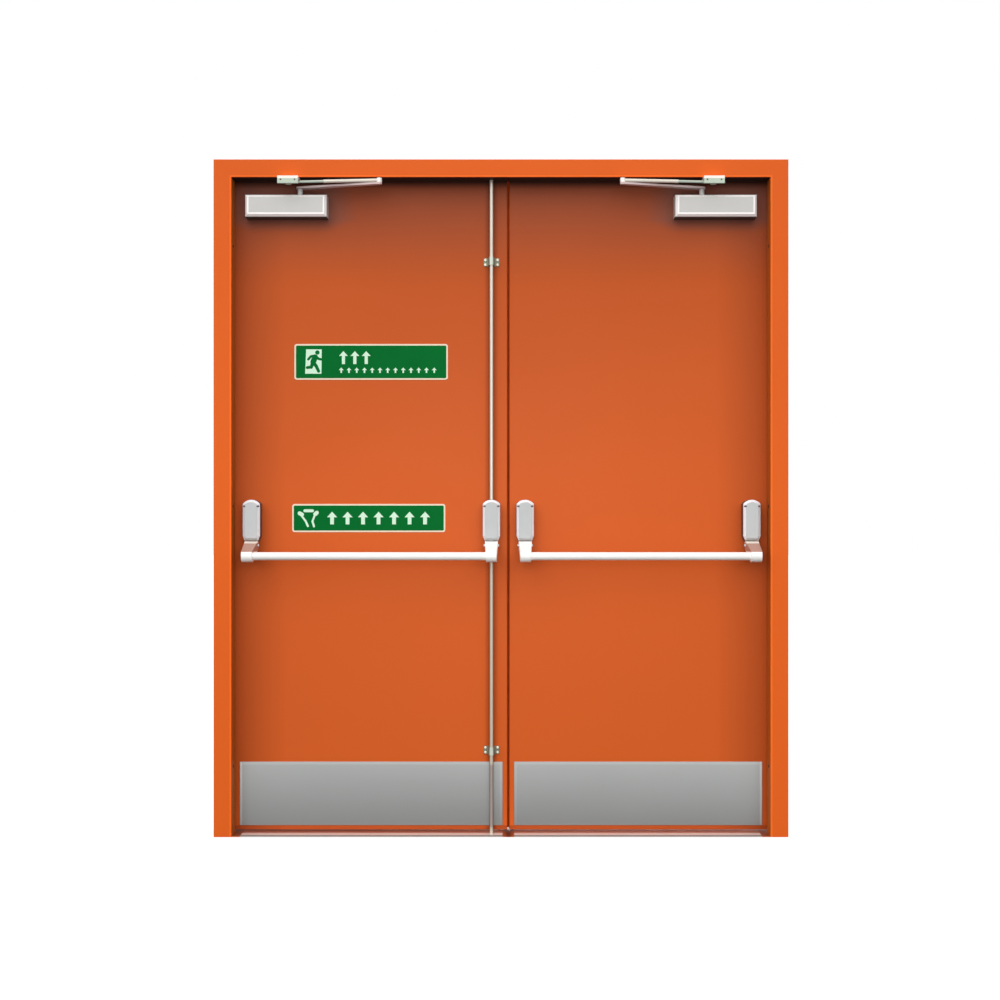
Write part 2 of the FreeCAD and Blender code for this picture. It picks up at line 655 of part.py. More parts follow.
def box(name, left, width, frontEdge, depth, low, height):
    solid = doc.addObject("Part::Box", name)
    solid.setExpression("Length", str(width))
    solid.setExpression("Width", str(depth))
    solid.setExpression("Height", str(height))
    solid.setExpression("Placement.Base.x", str(left))
    solid.setExpression("Placement.Base.y", str(frontEdge))
    solid.setExpression("Placement.Base.z", str(low))
    return solid


def join(name, shapes):
    whole = doc.addObject("Part::MultiFuse", name)
    whole.Shapes = shapes
    return whole


def hingeHalf(name, side, middle, onFrame):
    """One half of one hinge: wing, tab, knuckle and, on the frame's half, the pin."""
    away = side if onFrame else -side
    wingWidth = frameWing if onFrame else "Sizes.leafWing"
    wingLeft = f"({side} * {hingeX} + {away} * {wingRoot}"
    wingLeft += ")" if away > 0 else f" - {wingWidth})"
    tabLeft = f"({side} * {hingeX}" + (")" if away > 0 else f" - {wingRoot})")
    low = f"({middle} - Sizes.hingeHeight / 2)"
    half = "(Sizes.hingeHeight / 2 - Sizes.hingeGap / 2)"
    knuckleLow = low if onFrame else f"({middle} + Sizes.hingeGap / 2)"
    wing = box(name + "Wing", wingLeft, wingWidth, rearY, "Sizes.hingePlate",
               low, "Sizes.hingeHeight")
    tab = box(name + "Tab", tabLeft, wingRoot, rearY, "Sizes.hingePlate", knuckleLow, half)
    place = f"({side} * {hingeX})"
    knuckle = cylinder(name + "Knuckle", place, hingeY, knuckleLow, "Sizes.knuckleRadius", half)
    if onFrame:
        pin = cylinder(name + "Pin", place, hingeY, knuckleLow, "Sizes.hingePinRadius",
                       f"({half} + Sizes.hingePinLength)")
        return join(name, [wing, tab, knuckle, pin])
    bore = cylinder(name + "Bore", place, hingeY, knuckleLow,
                    "(Sizes.hingePinRadius + Sizes.hingePinFit)",
                    "(Sizes.hingePinLength + Sizes.hingePinFit)")
    solid = join(name + "Solid", [wing, tab, knuckle])
    bored = doc.addObject("Part::Cut", name)
    bored.Base = solid
    bored.Tool = bore
    return bored


def makeHinges(label, side, onFrame):
    halves = [hingeHalf(label + "At" + str(index), side, middle, onFrame)
              for index, middle in enumerate(hingeHeights)]
    row = doc.addObject("Part::Compound", label)
    row.Links = halves
    row.Label = label
    nodes.append(row)


makeHinges("left_frame_hinges", -1, True)
makeHinges("right_frame_hinges", 1, True)
makeHinges("left_leaf_hinges", -1, False)
makeHinges("right_leaf_hinges", 1, False)


# Closers: a bevelled body with the spindle on top
def makeCloser(label, side):
    body = newBody(label)
    left = closerX if side > 0 else f"(-{closerX} - Sizes.closerLength)"
    face = newSketch(body, label + "Face", "XZ_Plane", f"-{pushY}")
    rectangle(face, left, f"({left} + Sizes.closerLength)",
              f"({closerTop} - Sizes.closerHeight)", closerTop)
    block = pad(body, face, "Sizes.closerDepth")
    frontFace = value(f"{pushY} - Sizes.closerDepth")
    names = edgesAlong(block, alongX, lambda point: near(point.y, frontFace))
    names += edgesAlong(block, alongZ, lambda point: near(point.y, frontFace))
    dress(body, "Chamfer", block, names, "Sizes.closerBevel")
    for part, radius, rise in (
            ("Boss", "Sizes.spindleBoss", "Sizes.armRise - Sizes.elbowGap"),
            ("Spindle", "Sizes.spindleRadius", "Sizes.armRise + Sizes.armThickness + Sizes.spindleStand")):
        ring = newSketch(body, label + part, "XY_Plane", closerTop)
        circle(ring, f"{side} * {spindleX}", spindleY, radius)
        pad(body, ring, rise)


makeCloser("left_closer", -1)
makeCloser("right_closer", 1)


# Closer arms: a flat tapered arm from the spindle to the elbow
def makeCloserArm(label, side):
    body = newBody(label)
    reach = "sqrt(Sizes.elbowAlong ^ 2 + Sizes.elbowOut ^ 2)"
    plan = newSketch(body, label + "Plan", "XY_Plane")
    link(plan, reach, "Sizes.armHubRadius", "Sizes.armTipRadius")
    circle(plan, "0", "0", "Sizes.spindleRadius + Sizes.spindleFit")
    pad(body, plan, "Sizes.armThickness")
    body.setExpression("Placement.Base.x", f"{side} * {spindleX}")
    body.setExpression("Placement.Base.y", spindleY)
    body.setExpression("Placement.Base.z", armZ)
    body.Placement.Rotation = Rotation(alongZ, 1)
    lean = "atan(Sizes.elbowOut / Sizes.elbowAlong)"
    turn = f"-180 deg + {lean}" if side > 0 else f"-1 * {lean}"
    body.setExpression("Placement.Rotation.Angle", turn)


makeCloserArm("left_closer_arm", -1)
makeCloserArm("right_closer_arm", 1)


# Forearms: an eye at the shoe's pin, a rod, a sleeve and the elbow's eye
def makeForearm(label, side):
    across = f"({shoeX} - {elbowX})"
    out = f"({shoePinY} - {elbowY})"
    reach = f"sqrt({across} ^ 2 + {out} ^ 2)"
    body = newBody(label)
    eye = newSketch(body, label + "Eye", "XY_Plane")
    circle(eye, "0", "0", "Sizes.shoeEyeRadius")
    circle(eye, "0", "0", "Sizes.shoePinRadius + Sizes.shoePinFit")
    pad(body, eye, "Sizes.forearmEye")
    tip = newSketch(body, label + "Tip", "XY_Plane")
    circle(tip, reach, "0", "Sizes.armTipRadius")
    pad(body, tip, "Sizes.forearmEye")
    rodStart = "((Sizes.shoePinRadius + Sizes.shoePinFit + Sizes.shoeEyeRadius) / 2)"
    rod = newSketch(body, label + "Rod", "YZ_Plane", rodStart)
    circle(rod, "0", "Sizes.forearmEye / 2", "Sizes.forearmRadius")
    pad(body, rod, f"{reach} - {rodStart}")
    sleeve = newSketch(body, label + "Sleeve", "YZ_Plane", "Sizes.sleeveStart")
    circle(sleeve, "0", "Sizes.forearmEye / 2", "Sizes.sleeveRadius")
    pad(body, sleeve, f"{reach} - Sizes.sleeveStart")
    body.setExpression("Placement.Base.x", f"{side} * {shoeX}")
    body.setExpression("Placement.Base.y", shoePinY)
    body.setExpression("Placement.Base.z", forearmZ)
    body.Placement.Rotation = Rotation(alongZ, 1)
    lean = f"atan({out} / {across})"
    turn = f"-180 deg + {lean}" if side > 0 else f"-1 * {lean}"
    body.setExpression("Placement.Rotation.Angle", turn)


makeForearm("left_forearm", -1)
makeForearm("right_forearm", 1)


# Shoes: a plate under the soffit with a deep front, and the forearm's pin
def makeShoe(label, side):
    left = f"({side} * {shoeX} - Sizes.shoeWidth / 2)"
    low = f"({stopZ} - Sizes.shoeHeight)"
    plateLow = f"({stopZ} - Sizes.shoePlate)"
    body = newBody(label)
    plan = newSketch(body, label + "Plan", "XY_Plane", plateLow)
    rectangle(plan, left, f"({left} + Sizes.shoeWidth)", shoeY, f"({shoeY} + Sizes.shoeDepth)")
    pad(body, plan, "Sizes.shoePlate")
    front = newSketch(body, label + "Front", "XY_Plane", low)
    rectangle(front, left, f"({left} + Sizes.shoeWidth)", shoeY, f"({shoeY} + Sizes.shoeFront)")
    pad(body, front, "Sizes.shoeHeight")
    pin = newSketch(body, label + "Pin", "XY_Plane", forearmZ)
    circle(pin, f"{side} * {shoeX}", shoePinY, "Sizes.shoePinRadius")
    pad(body, pin, f"{stopZ} - {forearmZ}")
    collar = newSketch(body, label + "Collar", "XY_Plane",
                       f"{forearmZ} + Sizes.forearmEye + Sizes.shoePinFit")
    circle(collar, f"{side} * {shoeX}", shoePinY, "Sizes.shoeCollar")
    pad(body, collar, f"{stopZ} - {forearmZ} - Sizes.forearmEye - Sizes.shoePinFit")


makeShoe("left_closer_shoe", -1)
makeShoe("right_closer_shoe", 1)


# Cases: an arched cover open to the leaf, with two lugs and the bar's pivot pin below
def makeCase(label, middle, bored):
    half = "Sizes.caseWidth / 2"
    foot = "Sizes.caseFoot / 2"
    wall = "Sizes.caseWall"
    arch = "((Sizes.caseWidth / 2) ^ 2 + Sizes.caseArch ^ 2) / (2 * Sizes.caseArch)"
    taper = f"{caseBottom} + Sizes.caseTaper"
    body = newBody(label)
    corners = [
        (f"{middle} - {foot}", caseBottom),
        (f"{middle} + {foot}", caseBottom),
        (f"{middle} + {half}", taper),
        (f"{middle} + {half}", caseShoulder, arch),
        (f"{middle} - {half}", caseShoulder),
        (f"{middle} - {half}", taper)]
    sides = "(Sizes.caseDepth - Sizes.caseBevel)"
    face = newSketch(body, label + "Face", "XZ_Plane", f"-{pushY}")
    outline(face, corners)
    pad(body, face, sides)
    rim = newSketch(body, label + "Rim", "XZ_Plane", f"-{pushY} + {sides}")
    outline(rim, corners)
    bevel = pad(body, rim, "Sizes.caseBevel")
    bevel.setExpression("TaperAngle", evenSlope)
    doc.recompute()
    inner = "(Sizes.caseWidth / 2 - Sizes.caseWall)"
    innerFoot = "(Sizes.caseFoot / 2 - Sizes.caseWall)"
    innerArch = f"({inner} ^ 2 + Sizes.caseArch ^ 2) / (2 * Sizes.caseArch)"
    hollow = newSketch(body, label + "Hollow", "XZ_Plane", f"-{pushY}")
    outline(hollow, [
        (f"{middle} - {innerFoot}", f"{caseBottom} + {wall}"),
        (f"{middle} + {innerFoot}", f"{caseBottom} + {wall}"),
        (f"{middle} + {inner}", taper),
        (f"{middle} + {inner}", f"{caseShoulder} - {wall}", innerArch),
        (f"{middle} - {inner}", f"{caseShoulder} - {wall}"),
        (f"{middle} - {inner}", taper)])
    pocket(body, hollow, "Sizes.caseDepth - Sizes.caseWall - Sizes.caseBevel / 2", True)
    dimples = newSketch(body, label + "Dimples", "XZ_Plane", f"-{pushY} + Sizes.caseDepth")
    upper = f"({caseShoulder} - Sizes.dimpleDrop)"
    lower = f"({caseBottom} + Sizes.dimpleRise)"
    for dimpleSide in (-1, 1):
        circle(dimples, f"({middle} + {dimpleSide} * ({half} - Sizes.dimpleSide))", upper,
               "Sizes.dimpleRadius")
        circle(dimples, f"({middle} + {dimpleSide} * ({foot} - Sizes.dimpleInset))", lower,
               "Sizes.dimpleRadius")
    pocket(body, dimples, "Sizes.dimpleDepth")
    top = "(Sizes.pivotHeight + Sizes.lugRadius)"
    low = "(Sizes.pivotHeight - Sizes.lugRadius)"
    for lugSide in (-1, 1):
        start = f"{middle} + {lugSide} * (Sizes.lugInner + Sizes.lugThickness / 2)"
        start += " - Sizes.lugThickness / 2"
        lug = newSketch(body, f"{label}Lug{lugSide + 1}", "YZ_Plane", start)
        outline(lug, [
            (pushY, low), (pivotY, low), (pivotY, top),
            (f"{pushY} - Sizes.lugRoot", top),
            (f"{pushY} - Sizes.lugRoot", f"{caseBottom} + {wall}"),
            (pushY, f"{caseBottom} + {wall}")])
        pad(body, lug, "Sizes.lugThickness")
        nose = newSketch(body, f"{label}Nose{lugSide + 1}", "YZ_Plane", start)
        circle(nose, pivotY, "Sizes.pivotHeight", "Sizes.lugRadius")
        pad(body, nose, "Sizes.lugThickness")
    pin = newSketch(body, label + "Pin", "YZ_Plane", f"{middle} - Sizes.armWidth / 2 - Sizes.pivotNub")
    circle(pin, pivotY, "Sizes.pivotHeight", "Sizes.pivotRadius")
    pad(body, pin, "Sizes.armWidth + 2 * Sizes.pivotNub")
    if bored:
        drill = newSketch(body, label + "RodHole", "XY_Plane", f"{caseBottom} - {overrun}")
        circle(drill, middle, rodY, openBolt)
        pocket(body, drill, f"Sizes.caseSides + Sizes.caseArch + 2 * {overrun}", True)


makeCase("left_outer_case", leftCaseX, False)
makeCase("left_inner_case", boltX, True)
makeCase("right_inner_case", innerCaseX, False)
makeCase("right_outer_case", rightCaseX, False)


# Bar arms: tapered channels, open towards the leaf, solid where they hold the bar.
# Each is drawn from its pivot along its own second axis and then turned into place.
barStart = "(Sizes.armFootWidth / 2 - Sizes.barSeat)"


def makeBarArm(label, middle, barSide):
    body = newBody(label)
    half = "Sizes.armWidth / 2"
    footHalf = "Sizes.armFootWidth / 2"
    past = f"({barReach} + Sizes.armFootRadius)"
    profile = newSketch(body, label + "Profile", "YZ_Plane", f"-{half}")
    link(profile, barReach, "Sizes.armRadius", "Sizes.armFootRadius")
    circle(profile, "0", "0", "Sizes.pivotRadius + Sizes.pivotFit")
    pad(body, profile, "Sizes.armWidth")
    cheeks = newSketch(body, label + "Cheeks", "XY_Plane", "2 * Sizes.armFootRadius")
    for side in (-1, 1):
        outline(cheeks, [
            (f"{side} * {half}", "0"), (f"{side} * 2 * {half}", "0"),
            (f"{side} * 2 * {half}", past), (f"{side} * {footHalf}", past)])
    pocket(body, cheeks, "4 * Sizes.armFootRadius")
    web = "(Sizes.armRadius - Sizes.armWeb)"
    inner = f"({half} - Sizes.armWeb)"
    innerFoot = f"({footHalf} - Sizes.armWeb)"
    blockStart = f"({barReach} - Sizes.barRadius - Sizes.armBlock / 2)"
    channel = newSketch(body, label + "Channel", "XY_Plane", f"-{web}")
    outline(channel, [
        (f"-{inner}", "-2 * Sizes.armRadius"), (inner, "-2 * Sizes.armRadius"), (inner, "0"),
        (innerFoot, blockStart), (f"-{innerFoot}", blockStart), (f"-{inner}", "0")])
    pocket(body, channel, "2 * Sizes.armFootRadius", True)
    seat = newSketch(body, label + "Seat", "YZ_Plane", f"{barSide} * {barStart}")
    circle(seat, barReach, "0", "Sizes.barRadius")
    pocket(body, seat, "Sizes.armWidth", barSide > 0)
    body.setExpression("Placement.Base.x", middle)
    body.setExpression("Placement.Base.y", pivotY)
    body.setExpression("Placement.Base.z", "Sizes.pivotHeight")
    body.Placement.Rotation = Rotation(alongX, 1)
    body.setExpression("Placement.Rotation.Angle", "180 deg + atan(Sizes.barDown / Sizes.barAlong)")


makeBarArm("left_outer_bar_arm", leftCaseX, 1)
makeBarArm("left_inner_bar_arm", boltX, -1)
makeBarArm("right_inner_bar_arm", innerCaseX, 1)
makeBarArm("right_outer_bar_arm", rightCaseX, -1)


# Push bars: tubes seated in the arms at both ends
def makePushBar(label, leftMiddle, rightMiddle):
    body = newBody(label)
    ring = newSketch(body, label + "Ring", "YZ_Plane", f"{leftMiddle} + {barStart}")
    across = f"({pivotY} - Sizes.barAlong)"
    up = "(Sizes.pivotHeight - Sizes.barDown)"
    circle(ring, across, up, "Sizes.barRadius")
    circle(ring, across, up, "Sizes.barRadius - Sizes.barWall")
    pad(body, ring, f"{rightMiddle} - {leftMiddle} - 2 * {barStart}")


makePushBar("left_push_bar", leftCaseX, boltX)
makePushBar("right_push_bar", innerCaseX, rightCaseX)


# Bolt rods: one up into the head and one down into the threshold, from the inner case
def makeRod(label, low, high, tipAtTop):
    body = newBody(label)
    ring = newSketch(body, label + "Ring", "XY_Plane", low)
    circle(ring, boltX, rodY, "Sizes.rodRadius")
    rod = pad(body, ring, f"{high} - {low}")
    tip = value(high if tipAtTop else low)
    names = ["Edge" + str(index) for index, edge in enumerate(rod.Shape.Edges, 1)
             if near(edge.CenterOfMass.z, tip)]
    dress(body, "Chamfer", rod, names, "Sizes.rodTip")


makeRod("top_bolt_rod", f"({caseBottom} + Sizes.topRodInside)", f"({stopZ} + Sizes.rodThrow)", True)
makeRod("bottom_bolt_rod", "Sizes.rodFloor", f"({caseBottom} + Sizes.bottomRodInside)", False)


# Rod guides: a plate on the leaf with a bored boss round the rod
def makeRodGuide(label, middle):
    boss = "(Sizes.rodRadius + Sizes.guideFit + Sizes.guideWall)"
    low = f"({middle} - Sizes.guideHeight / 2)"
    body = newBody(label)
    plan = newSketch(body, label + "Plan", "XY_Plane", low)
    left = f"({boltX} - Sizes.guideWidth / 2)"
    rectangle(plan, left, f"({left} + Sizes.guideWidth)", f"({pushY} - Sizes.guidePlate)", pushY)
    pad(body, plan, "Sizes.guideHeight")
    neck = newSketch(body, label + "Neck", "XY_Plane", low)
    rectangle(neck, f"{boltX} - {boss}", f"{boltX} + {boss}", rodY,
              f"({pushY} - Sizes.guidePlate)")
    pad(body, neck, "Sizes.guideHeight")
    ring = newSketch(body, label + "Ring", "XY_Plane", low)
    circle(ring, boltX, rodY, boss)
    pad(body, ring, "Sizes.guideHeight")
    drill = newSketch(body, label + "Bore", "XY_Plane", f"{low} - {overrun}")
    circle(drill, boltX, rodY, "Sizes.rodRadius + Sizes.guideFit")
    pocket(body, drill, f"Sizes.guideHeight + 2 * {overrun}", True)


makeRodGuide("upper_rod_guide", f"({leafTop} - Sizes.upperGuideDrop)")
makeRodGuide("lower_rod_guide", f"({kickLow} + Sizes.kickHeight + Sizes.lowerGuideRise)")


# Everything is checked before any file is written
doc.recompute()
for item in doc.Objects:
    if "Invalid" in item.State or "Error" in item.State:
        raise RuntimeError(f"{item.Name} failed: {item.State}")
for node in nodes:
    if node.Shape.isNull() or not node.Shape.isValid():
        raise RuntimeError(f"{node.Label} has no valid shape")

os.makedirs("parts", exist_ok=True)
for node in nodes:
    node.Shape.exportStep(os.path.join("parts", node.Label + ".step"))
print(f"{len(nodes)} parts written")
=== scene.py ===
import json
import math

import bmesh
import bpy
from mathutils import Matrix, Vector


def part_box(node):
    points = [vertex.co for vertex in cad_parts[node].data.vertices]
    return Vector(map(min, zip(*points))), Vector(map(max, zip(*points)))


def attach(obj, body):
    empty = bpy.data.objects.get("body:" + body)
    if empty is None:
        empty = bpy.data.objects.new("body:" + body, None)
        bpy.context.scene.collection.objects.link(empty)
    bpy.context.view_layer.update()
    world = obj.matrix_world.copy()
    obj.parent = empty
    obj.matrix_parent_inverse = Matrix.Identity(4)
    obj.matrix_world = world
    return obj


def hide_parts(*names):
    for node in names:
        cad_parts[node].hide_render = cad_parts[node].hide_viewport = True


# Pair of fire rated steel doors in a steel frame. +Y runs through the doorway, +Z is up.
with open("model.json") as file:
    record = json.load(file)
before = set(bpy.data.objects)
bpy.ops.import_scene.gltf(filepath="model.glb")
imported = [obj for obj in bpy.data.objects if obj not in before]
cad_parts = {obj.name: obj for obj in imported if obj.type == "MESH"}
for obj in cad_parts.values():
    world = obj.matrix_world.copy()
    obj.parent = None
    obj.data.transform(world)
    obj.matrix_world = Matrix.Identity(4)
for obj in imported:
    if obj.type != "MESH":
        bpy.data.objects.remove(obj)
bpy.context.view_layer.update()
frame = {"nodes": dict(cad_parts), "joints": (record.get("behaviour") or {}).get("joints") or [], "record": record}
scene = bpy.context.scene


# Half the width over which one painted tone gives way to the next, and how far the paint of a
# flat face reaches on either side of it, in metres
blend = {"sharp": 0.0004, "fine": 0.001, "soft": 0.002, "wide": 0.003, "long": 0.004}
faceReach = 0.001


class Signal:
    # a socket that takes part in shader maths
    def __init__(self, nodes, socket):
        self.nodes = nodes
        self.socket = socket

    def maths(self, operation, first, second):
        return self.nodes.add("ShaderNodeMath", {"operation": operation}, {0: first, 1: second})

    def __add__(self, other):
        return self.maths("ADD", self, other)

    def __radd__(self, other):
        return self.maths("ADD", other, self)

    def __sub__(self, other):
        return self.maths("SUBTRACT", self, other)

    def __rsub__(self, other):
        return self.maths("SUBTRACT", other, self)

    def __mul__(self, other):
        return self.maths("MULTIPLY", self, other)

    def __truediv__(self, other):
        return self.maths("DIVIDE", self, other)

    def __abs__(self):
        return self.maths("ABSOLUTE", self, 0.0)


class Nodes:
    # adds nodes to one tree
    def __init__(self, tree):
        self.tree = tree
        tree.nodes.clear()

    def find(self, sockets, name):
        if isinstance(name, int):
            return sockets[name]
        for socket in sockets:
            if socket.identifier == name:
                return socket
        return sockets[name]

    def add(self, kind, settings, values, output=0):
        node = self.tree.nodes.new(kind)
        for name, setting in settings.items():
            setattr(node, name, setting)
        for name, value in values.items():
            socket = self.find(node.inputs, name)
            if isinstance(value, Signal):
                self.tree.links.new(value.socket, socket)
            else:
                socket.default_value = value
        if not node.outputs:
            return None
        return Signal(self, self.find(node.outputs, output))

    def mix(self, factor, low, high):
        values = {"Factor_Float": factor, "A_Color": low, "B_Color": high}
        return self.add("ShaderNodeMix", {"data_type": "RGBA"}, values, "Result_Color")

    def paint(self, share, under, over):
        # a colour read off a screen, over what is already there
        return self.mix(share, under, screenColour(*over))

    def noise(self, vector, scale, kind):
        values = {"Vector": vector, "Scale": scale, "Detail": kind["detail"],
                  "Roughness": kind["roughness"]}
        return self.add("ShaderNodeTexNoise", {}, values, "Fac")

    def patches(self, vector, scale, kind):
        # 0 where the noise is under its low value, 1 where it is over its high one
        return self.range(self.noise(vector, scale, kind), kind["low"], kind["high"], 0.0, 1.0)

    def coordinates(self):
        return self.add("ShaderNodeTexCoord", {}, {}, "Object")

    def stretched(self, vector, scale):
        return self.add("ShaderNodeMapping", {}, {"Vector": vector, "Scale": scale})

    def range(self, value, low, high, toLow, toHigh):
        values = {"Value": value, "From Min": low, "From Max": high, "To Min": toLow, "To Max": toHigh}
        return self.add("ShaderNodeMapRange", {"clamp": True}, values)

    def rise(self, value, edge, blur=blend["sharp"]):
        # 0 below the edge, 1 above it
        return self.range(value, edge - blur, edge + blur, 0.0, 1.0)

    def within(self, value, low, high, blur=blend["sharp"]):
        return self.rise(value, low, blur) * (1 - self.rise(value, high, blur))

    def onFace(self, value, place):
        return self.within(value, place - faceReach, place + faceReach)

    def either(self, first, second):
        return self.add("ShaderNodeMath", {"operation": "MAXIMUM"}, {0: first, 1: second})

    def axes(self, vector):
        split = self.add("ShaderNodeSeparateXYZ", {}, {"Vector": vector})
        return [Signal(self, socket) for socket in split.socket.node.outputs]

    def shade(self, colour, amount):
        values = {"Vector": colour, "Scale": amount}
        return self.add("ShaderNodeVectorMath", {"operation": "SCALE"}, values)

    def bump(self, height, strength, distance):
        values = {"Height": height, "Strength": strength, "Distance": distance}
        return self.add("ShaderNodeBump", {}, values)


def screenColour(red, green, blue):
    # a colour read off a screen, 0 to 255, as Blender's linear colour
    linear = [((part / 255 + 0.055) / 1.055) ** 2.4 for part in (red, green, blue)]
    return (*linear, 1.0)


def scaled(colour, amount):
    return (*[part * amount for part in colour[:3]], 1.0)


def surface(nodes, values):
    shader = nodes.add("ShaderNodeBsdfPrincipled", {}, values)
    nodes.add("ShaderNodeOutputMaterial", {}, {"Surface": shader})


def newFinish(name):
    material = bpy.data.materials.new(name)
    material.use_nodes = True
    return material, Nodes(material.node_tree)


def plainTone(nodes, axes, colour):
    return colour


# Kinds of noise: how fine and how rough each is, and between which values it is used
peelNoise = {"detail": 2.0, "roughness": 0.5}
grainNoise = {"detail": 3.0, "roughness": 0.5}
scratchNoise = {"detail": 4.0, "roughness": 0.7, "low": 0.3, "high": 0.7}
driftNoise = {"detail": 3.0, "roughness": 0.5, "low": 0.35, "high": 0.65}
powderSmudges = {"detail": 5.0, "roughness": 0.65, "low": 0.45, "high": 0.75}
satinSmudges = {"detail": 4.0, "roughness": 0.6, "low": 0.4, "high": 0.75}
bumpHeight = {"powder": 0.0006, "brushed": 0.0004, "satin": 0.0003}


# Powder coat: fine orange peel, a slow drift of tone and faint smudges
def powderCoat(name, values, tone=plainTone):
    material, nodes = newFinish(name)
    place = nodes.coordinates()
    peel = nodes.noise(place, values["peelScale"], peelNoise)
    drift = nodes.patches(place, values["driftScale"], driftNoise)
    smudge = nodes.patches(place, values["smudgeScale"], powderSmudges)
    base = screenColour(*values["colour"])
    colour = nodes.mix(drift, scaled(base, 1 - values["drift"]), scaled(base, 1 + values["drift"]))
    surface(nodes, {
        "Base Color": tone(nodes, nodes.axes(place), colour),
        "Roughness": values["roughness"] + smudge * values["smudge"],
        "Specular IOR Level": values["specular"],
        "Normal": nodes.bump(peel, values["peel"], bumpHeight["powder"])})
    return material


# Brushed metal: long fine scratches along one axis over a slow drift of tone
brushed = {"grainShare": 0.6, "driftShare": 0.4, "smoother": 0.06, "rougher": 0.08}


def brushedMetal(name, values, tone=plainTone):
    material, nodes = newFinish(name)
    place = nodes.coordinates()
    grain = nodes.noise(nodes.stretched(place, values["grain"]), 1.0, scratchNoise)
    drift = nodes.patches(place, values["driftScale"], driftNoise)
    base = screenColour(*values["colour"])
    share = grain * brushed["grainShare"] + drift * brushed["driftShare"]
    colour = nodes.mix(share, scaled(base, 1 - values["drift"]), scaled(base, 1 + values["drift"]))
    surface(nodes, {
        "Base Color": tone(nodes, nodes.axes(place), colour),
        "Metallic": values["metallic"],
        "Roughness": nodes.range(
            grain, scratchNoise["low"], scratchNoise["high"],
            values["roughness"] - brushed["smoother"], values["roughness"] + brushed["rougher"]),
        "Normal": nodes.bump(grain, values["scratch"], bumpHeight["brushed"])})
    return material


# Satin paint or plastic: a fine grain and a light wipe of smudges
def satinCoat(name, values, tone=plainTone):
    material, nodes = newFinish(name)
    place = nodes.coordinates()
    grain = nodes.noise(place, values["grainScale"], grainNoise)
    smudge = nodes.patches(place, values["smudgeScale"], satinSmudges)
    base = screenColour(*values["colour"])
    colour = nodes.mix(smudge, base, scaled(base, 1 - values["drift"]))
    surface(nodes, {
        "Base Color": tone(nodes, nodes.axes(place), colour),
        "Metallic": values["metallic"],
        "Roughness": values["roughness"] + smudge * values["smudge"],
        "Specular IOR Level": values["specular"],
        "Normal": nodes.bump(grain, values["grain"], bumpHeight["satin"])})
    return material


# Frame: painted shade on the soffit and reveals, and a painted highlight on the folds round the opening
framePaint = {
    "colour": (229, 99, 29), "drift": 0.03, "driftScale": 1.1, "roughness": 0.5,
    "smudge": 0.06, "smudgeScale": 4.0, "specular": 0.15, "peelScale": 420.0, "peel": 0.10,
    "soffit": (36, 21, 19), "reveal": (168, 86, 28), "pastLeaf": 0.002, "fold": 0.006,
    "foldDeep": 0.003, "foldHighlight": 1.25}


def frameTone(nodes, axes, colour):
    across, deep, up = abs(axes[0]), axes[1], axes[2]
    front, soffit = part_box("frame_head")[0].y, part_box("frame_head")[0].z
    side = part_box("right_jamb")[0].x
    # a painted highlight along the folds of the front face round the opening
    fold = framePaint["fold"]
    face = 1 - nodes.rise(deep, front + framePaint["foldDeep"])
    sides = nodes.within(across, side - fold, side + fold) * (1 - nodes.rise(up, soffit + fold))
    top = nodes.within(up, soffit - fold, soffit + fold) * (1 - nodes.rise(across, side + fold))
    highlight = nodes.either(sides, top) * face * (framePaint["foldHighlight"] - 1)
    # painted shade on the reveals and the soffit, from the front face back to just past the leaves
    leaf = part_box("left_leaf_push_skin")[0].y + framePaint["pastLeaf"]
    inside = nodes.within(deep, front + faceReach, leaf)
    colour = nodes.paint(nodes.onFace(across, side) * inside, colour, framePaint["reveal"])
    colour = nodes.paint(nodes.onFace(up, soffit) * inside, colour, framePaint["soffit"])
    return nodes.shade(colour, 1 + highlight)


# Leaves: painted shade on the push face. The tone falls away towards the top, is darker and
# greyer under the head, greyer round the closers, and darker beside the jambs, along the bolt rods
# and under the kick plates
leafPaint = {
    "colour": (211, 93, 34), "drift": 0.03, "driftScale": 0.9, "roughness": 0.5,
    "smudge": 0.06, "smudgeScale": 3.0, "specular": 0.15, "peelScale": 420.0, "peel": 0.10,
    "fadeFrom": 1.1, "fade": 0.76, "topShadow": 0.34, "top": 0.7, "corner": 0.02, "cornerShade": 0.14,
    "shadeHue": (122, 97, 93), "shadeBand": 0.3, "bandShare": 0.26, "closerShare": 0.64,
    "closerBeside": 0.13, "closerBelow": 0.05,
    "sideShade": (0.06, 0.17), "sideLow": 0.26, "sideHigh": 0.2, "rodNear": 0.008, "rodFar": 0.022,
    "rodTone": 0.62, "foot": 0.66, "faceDeep": 0.003}


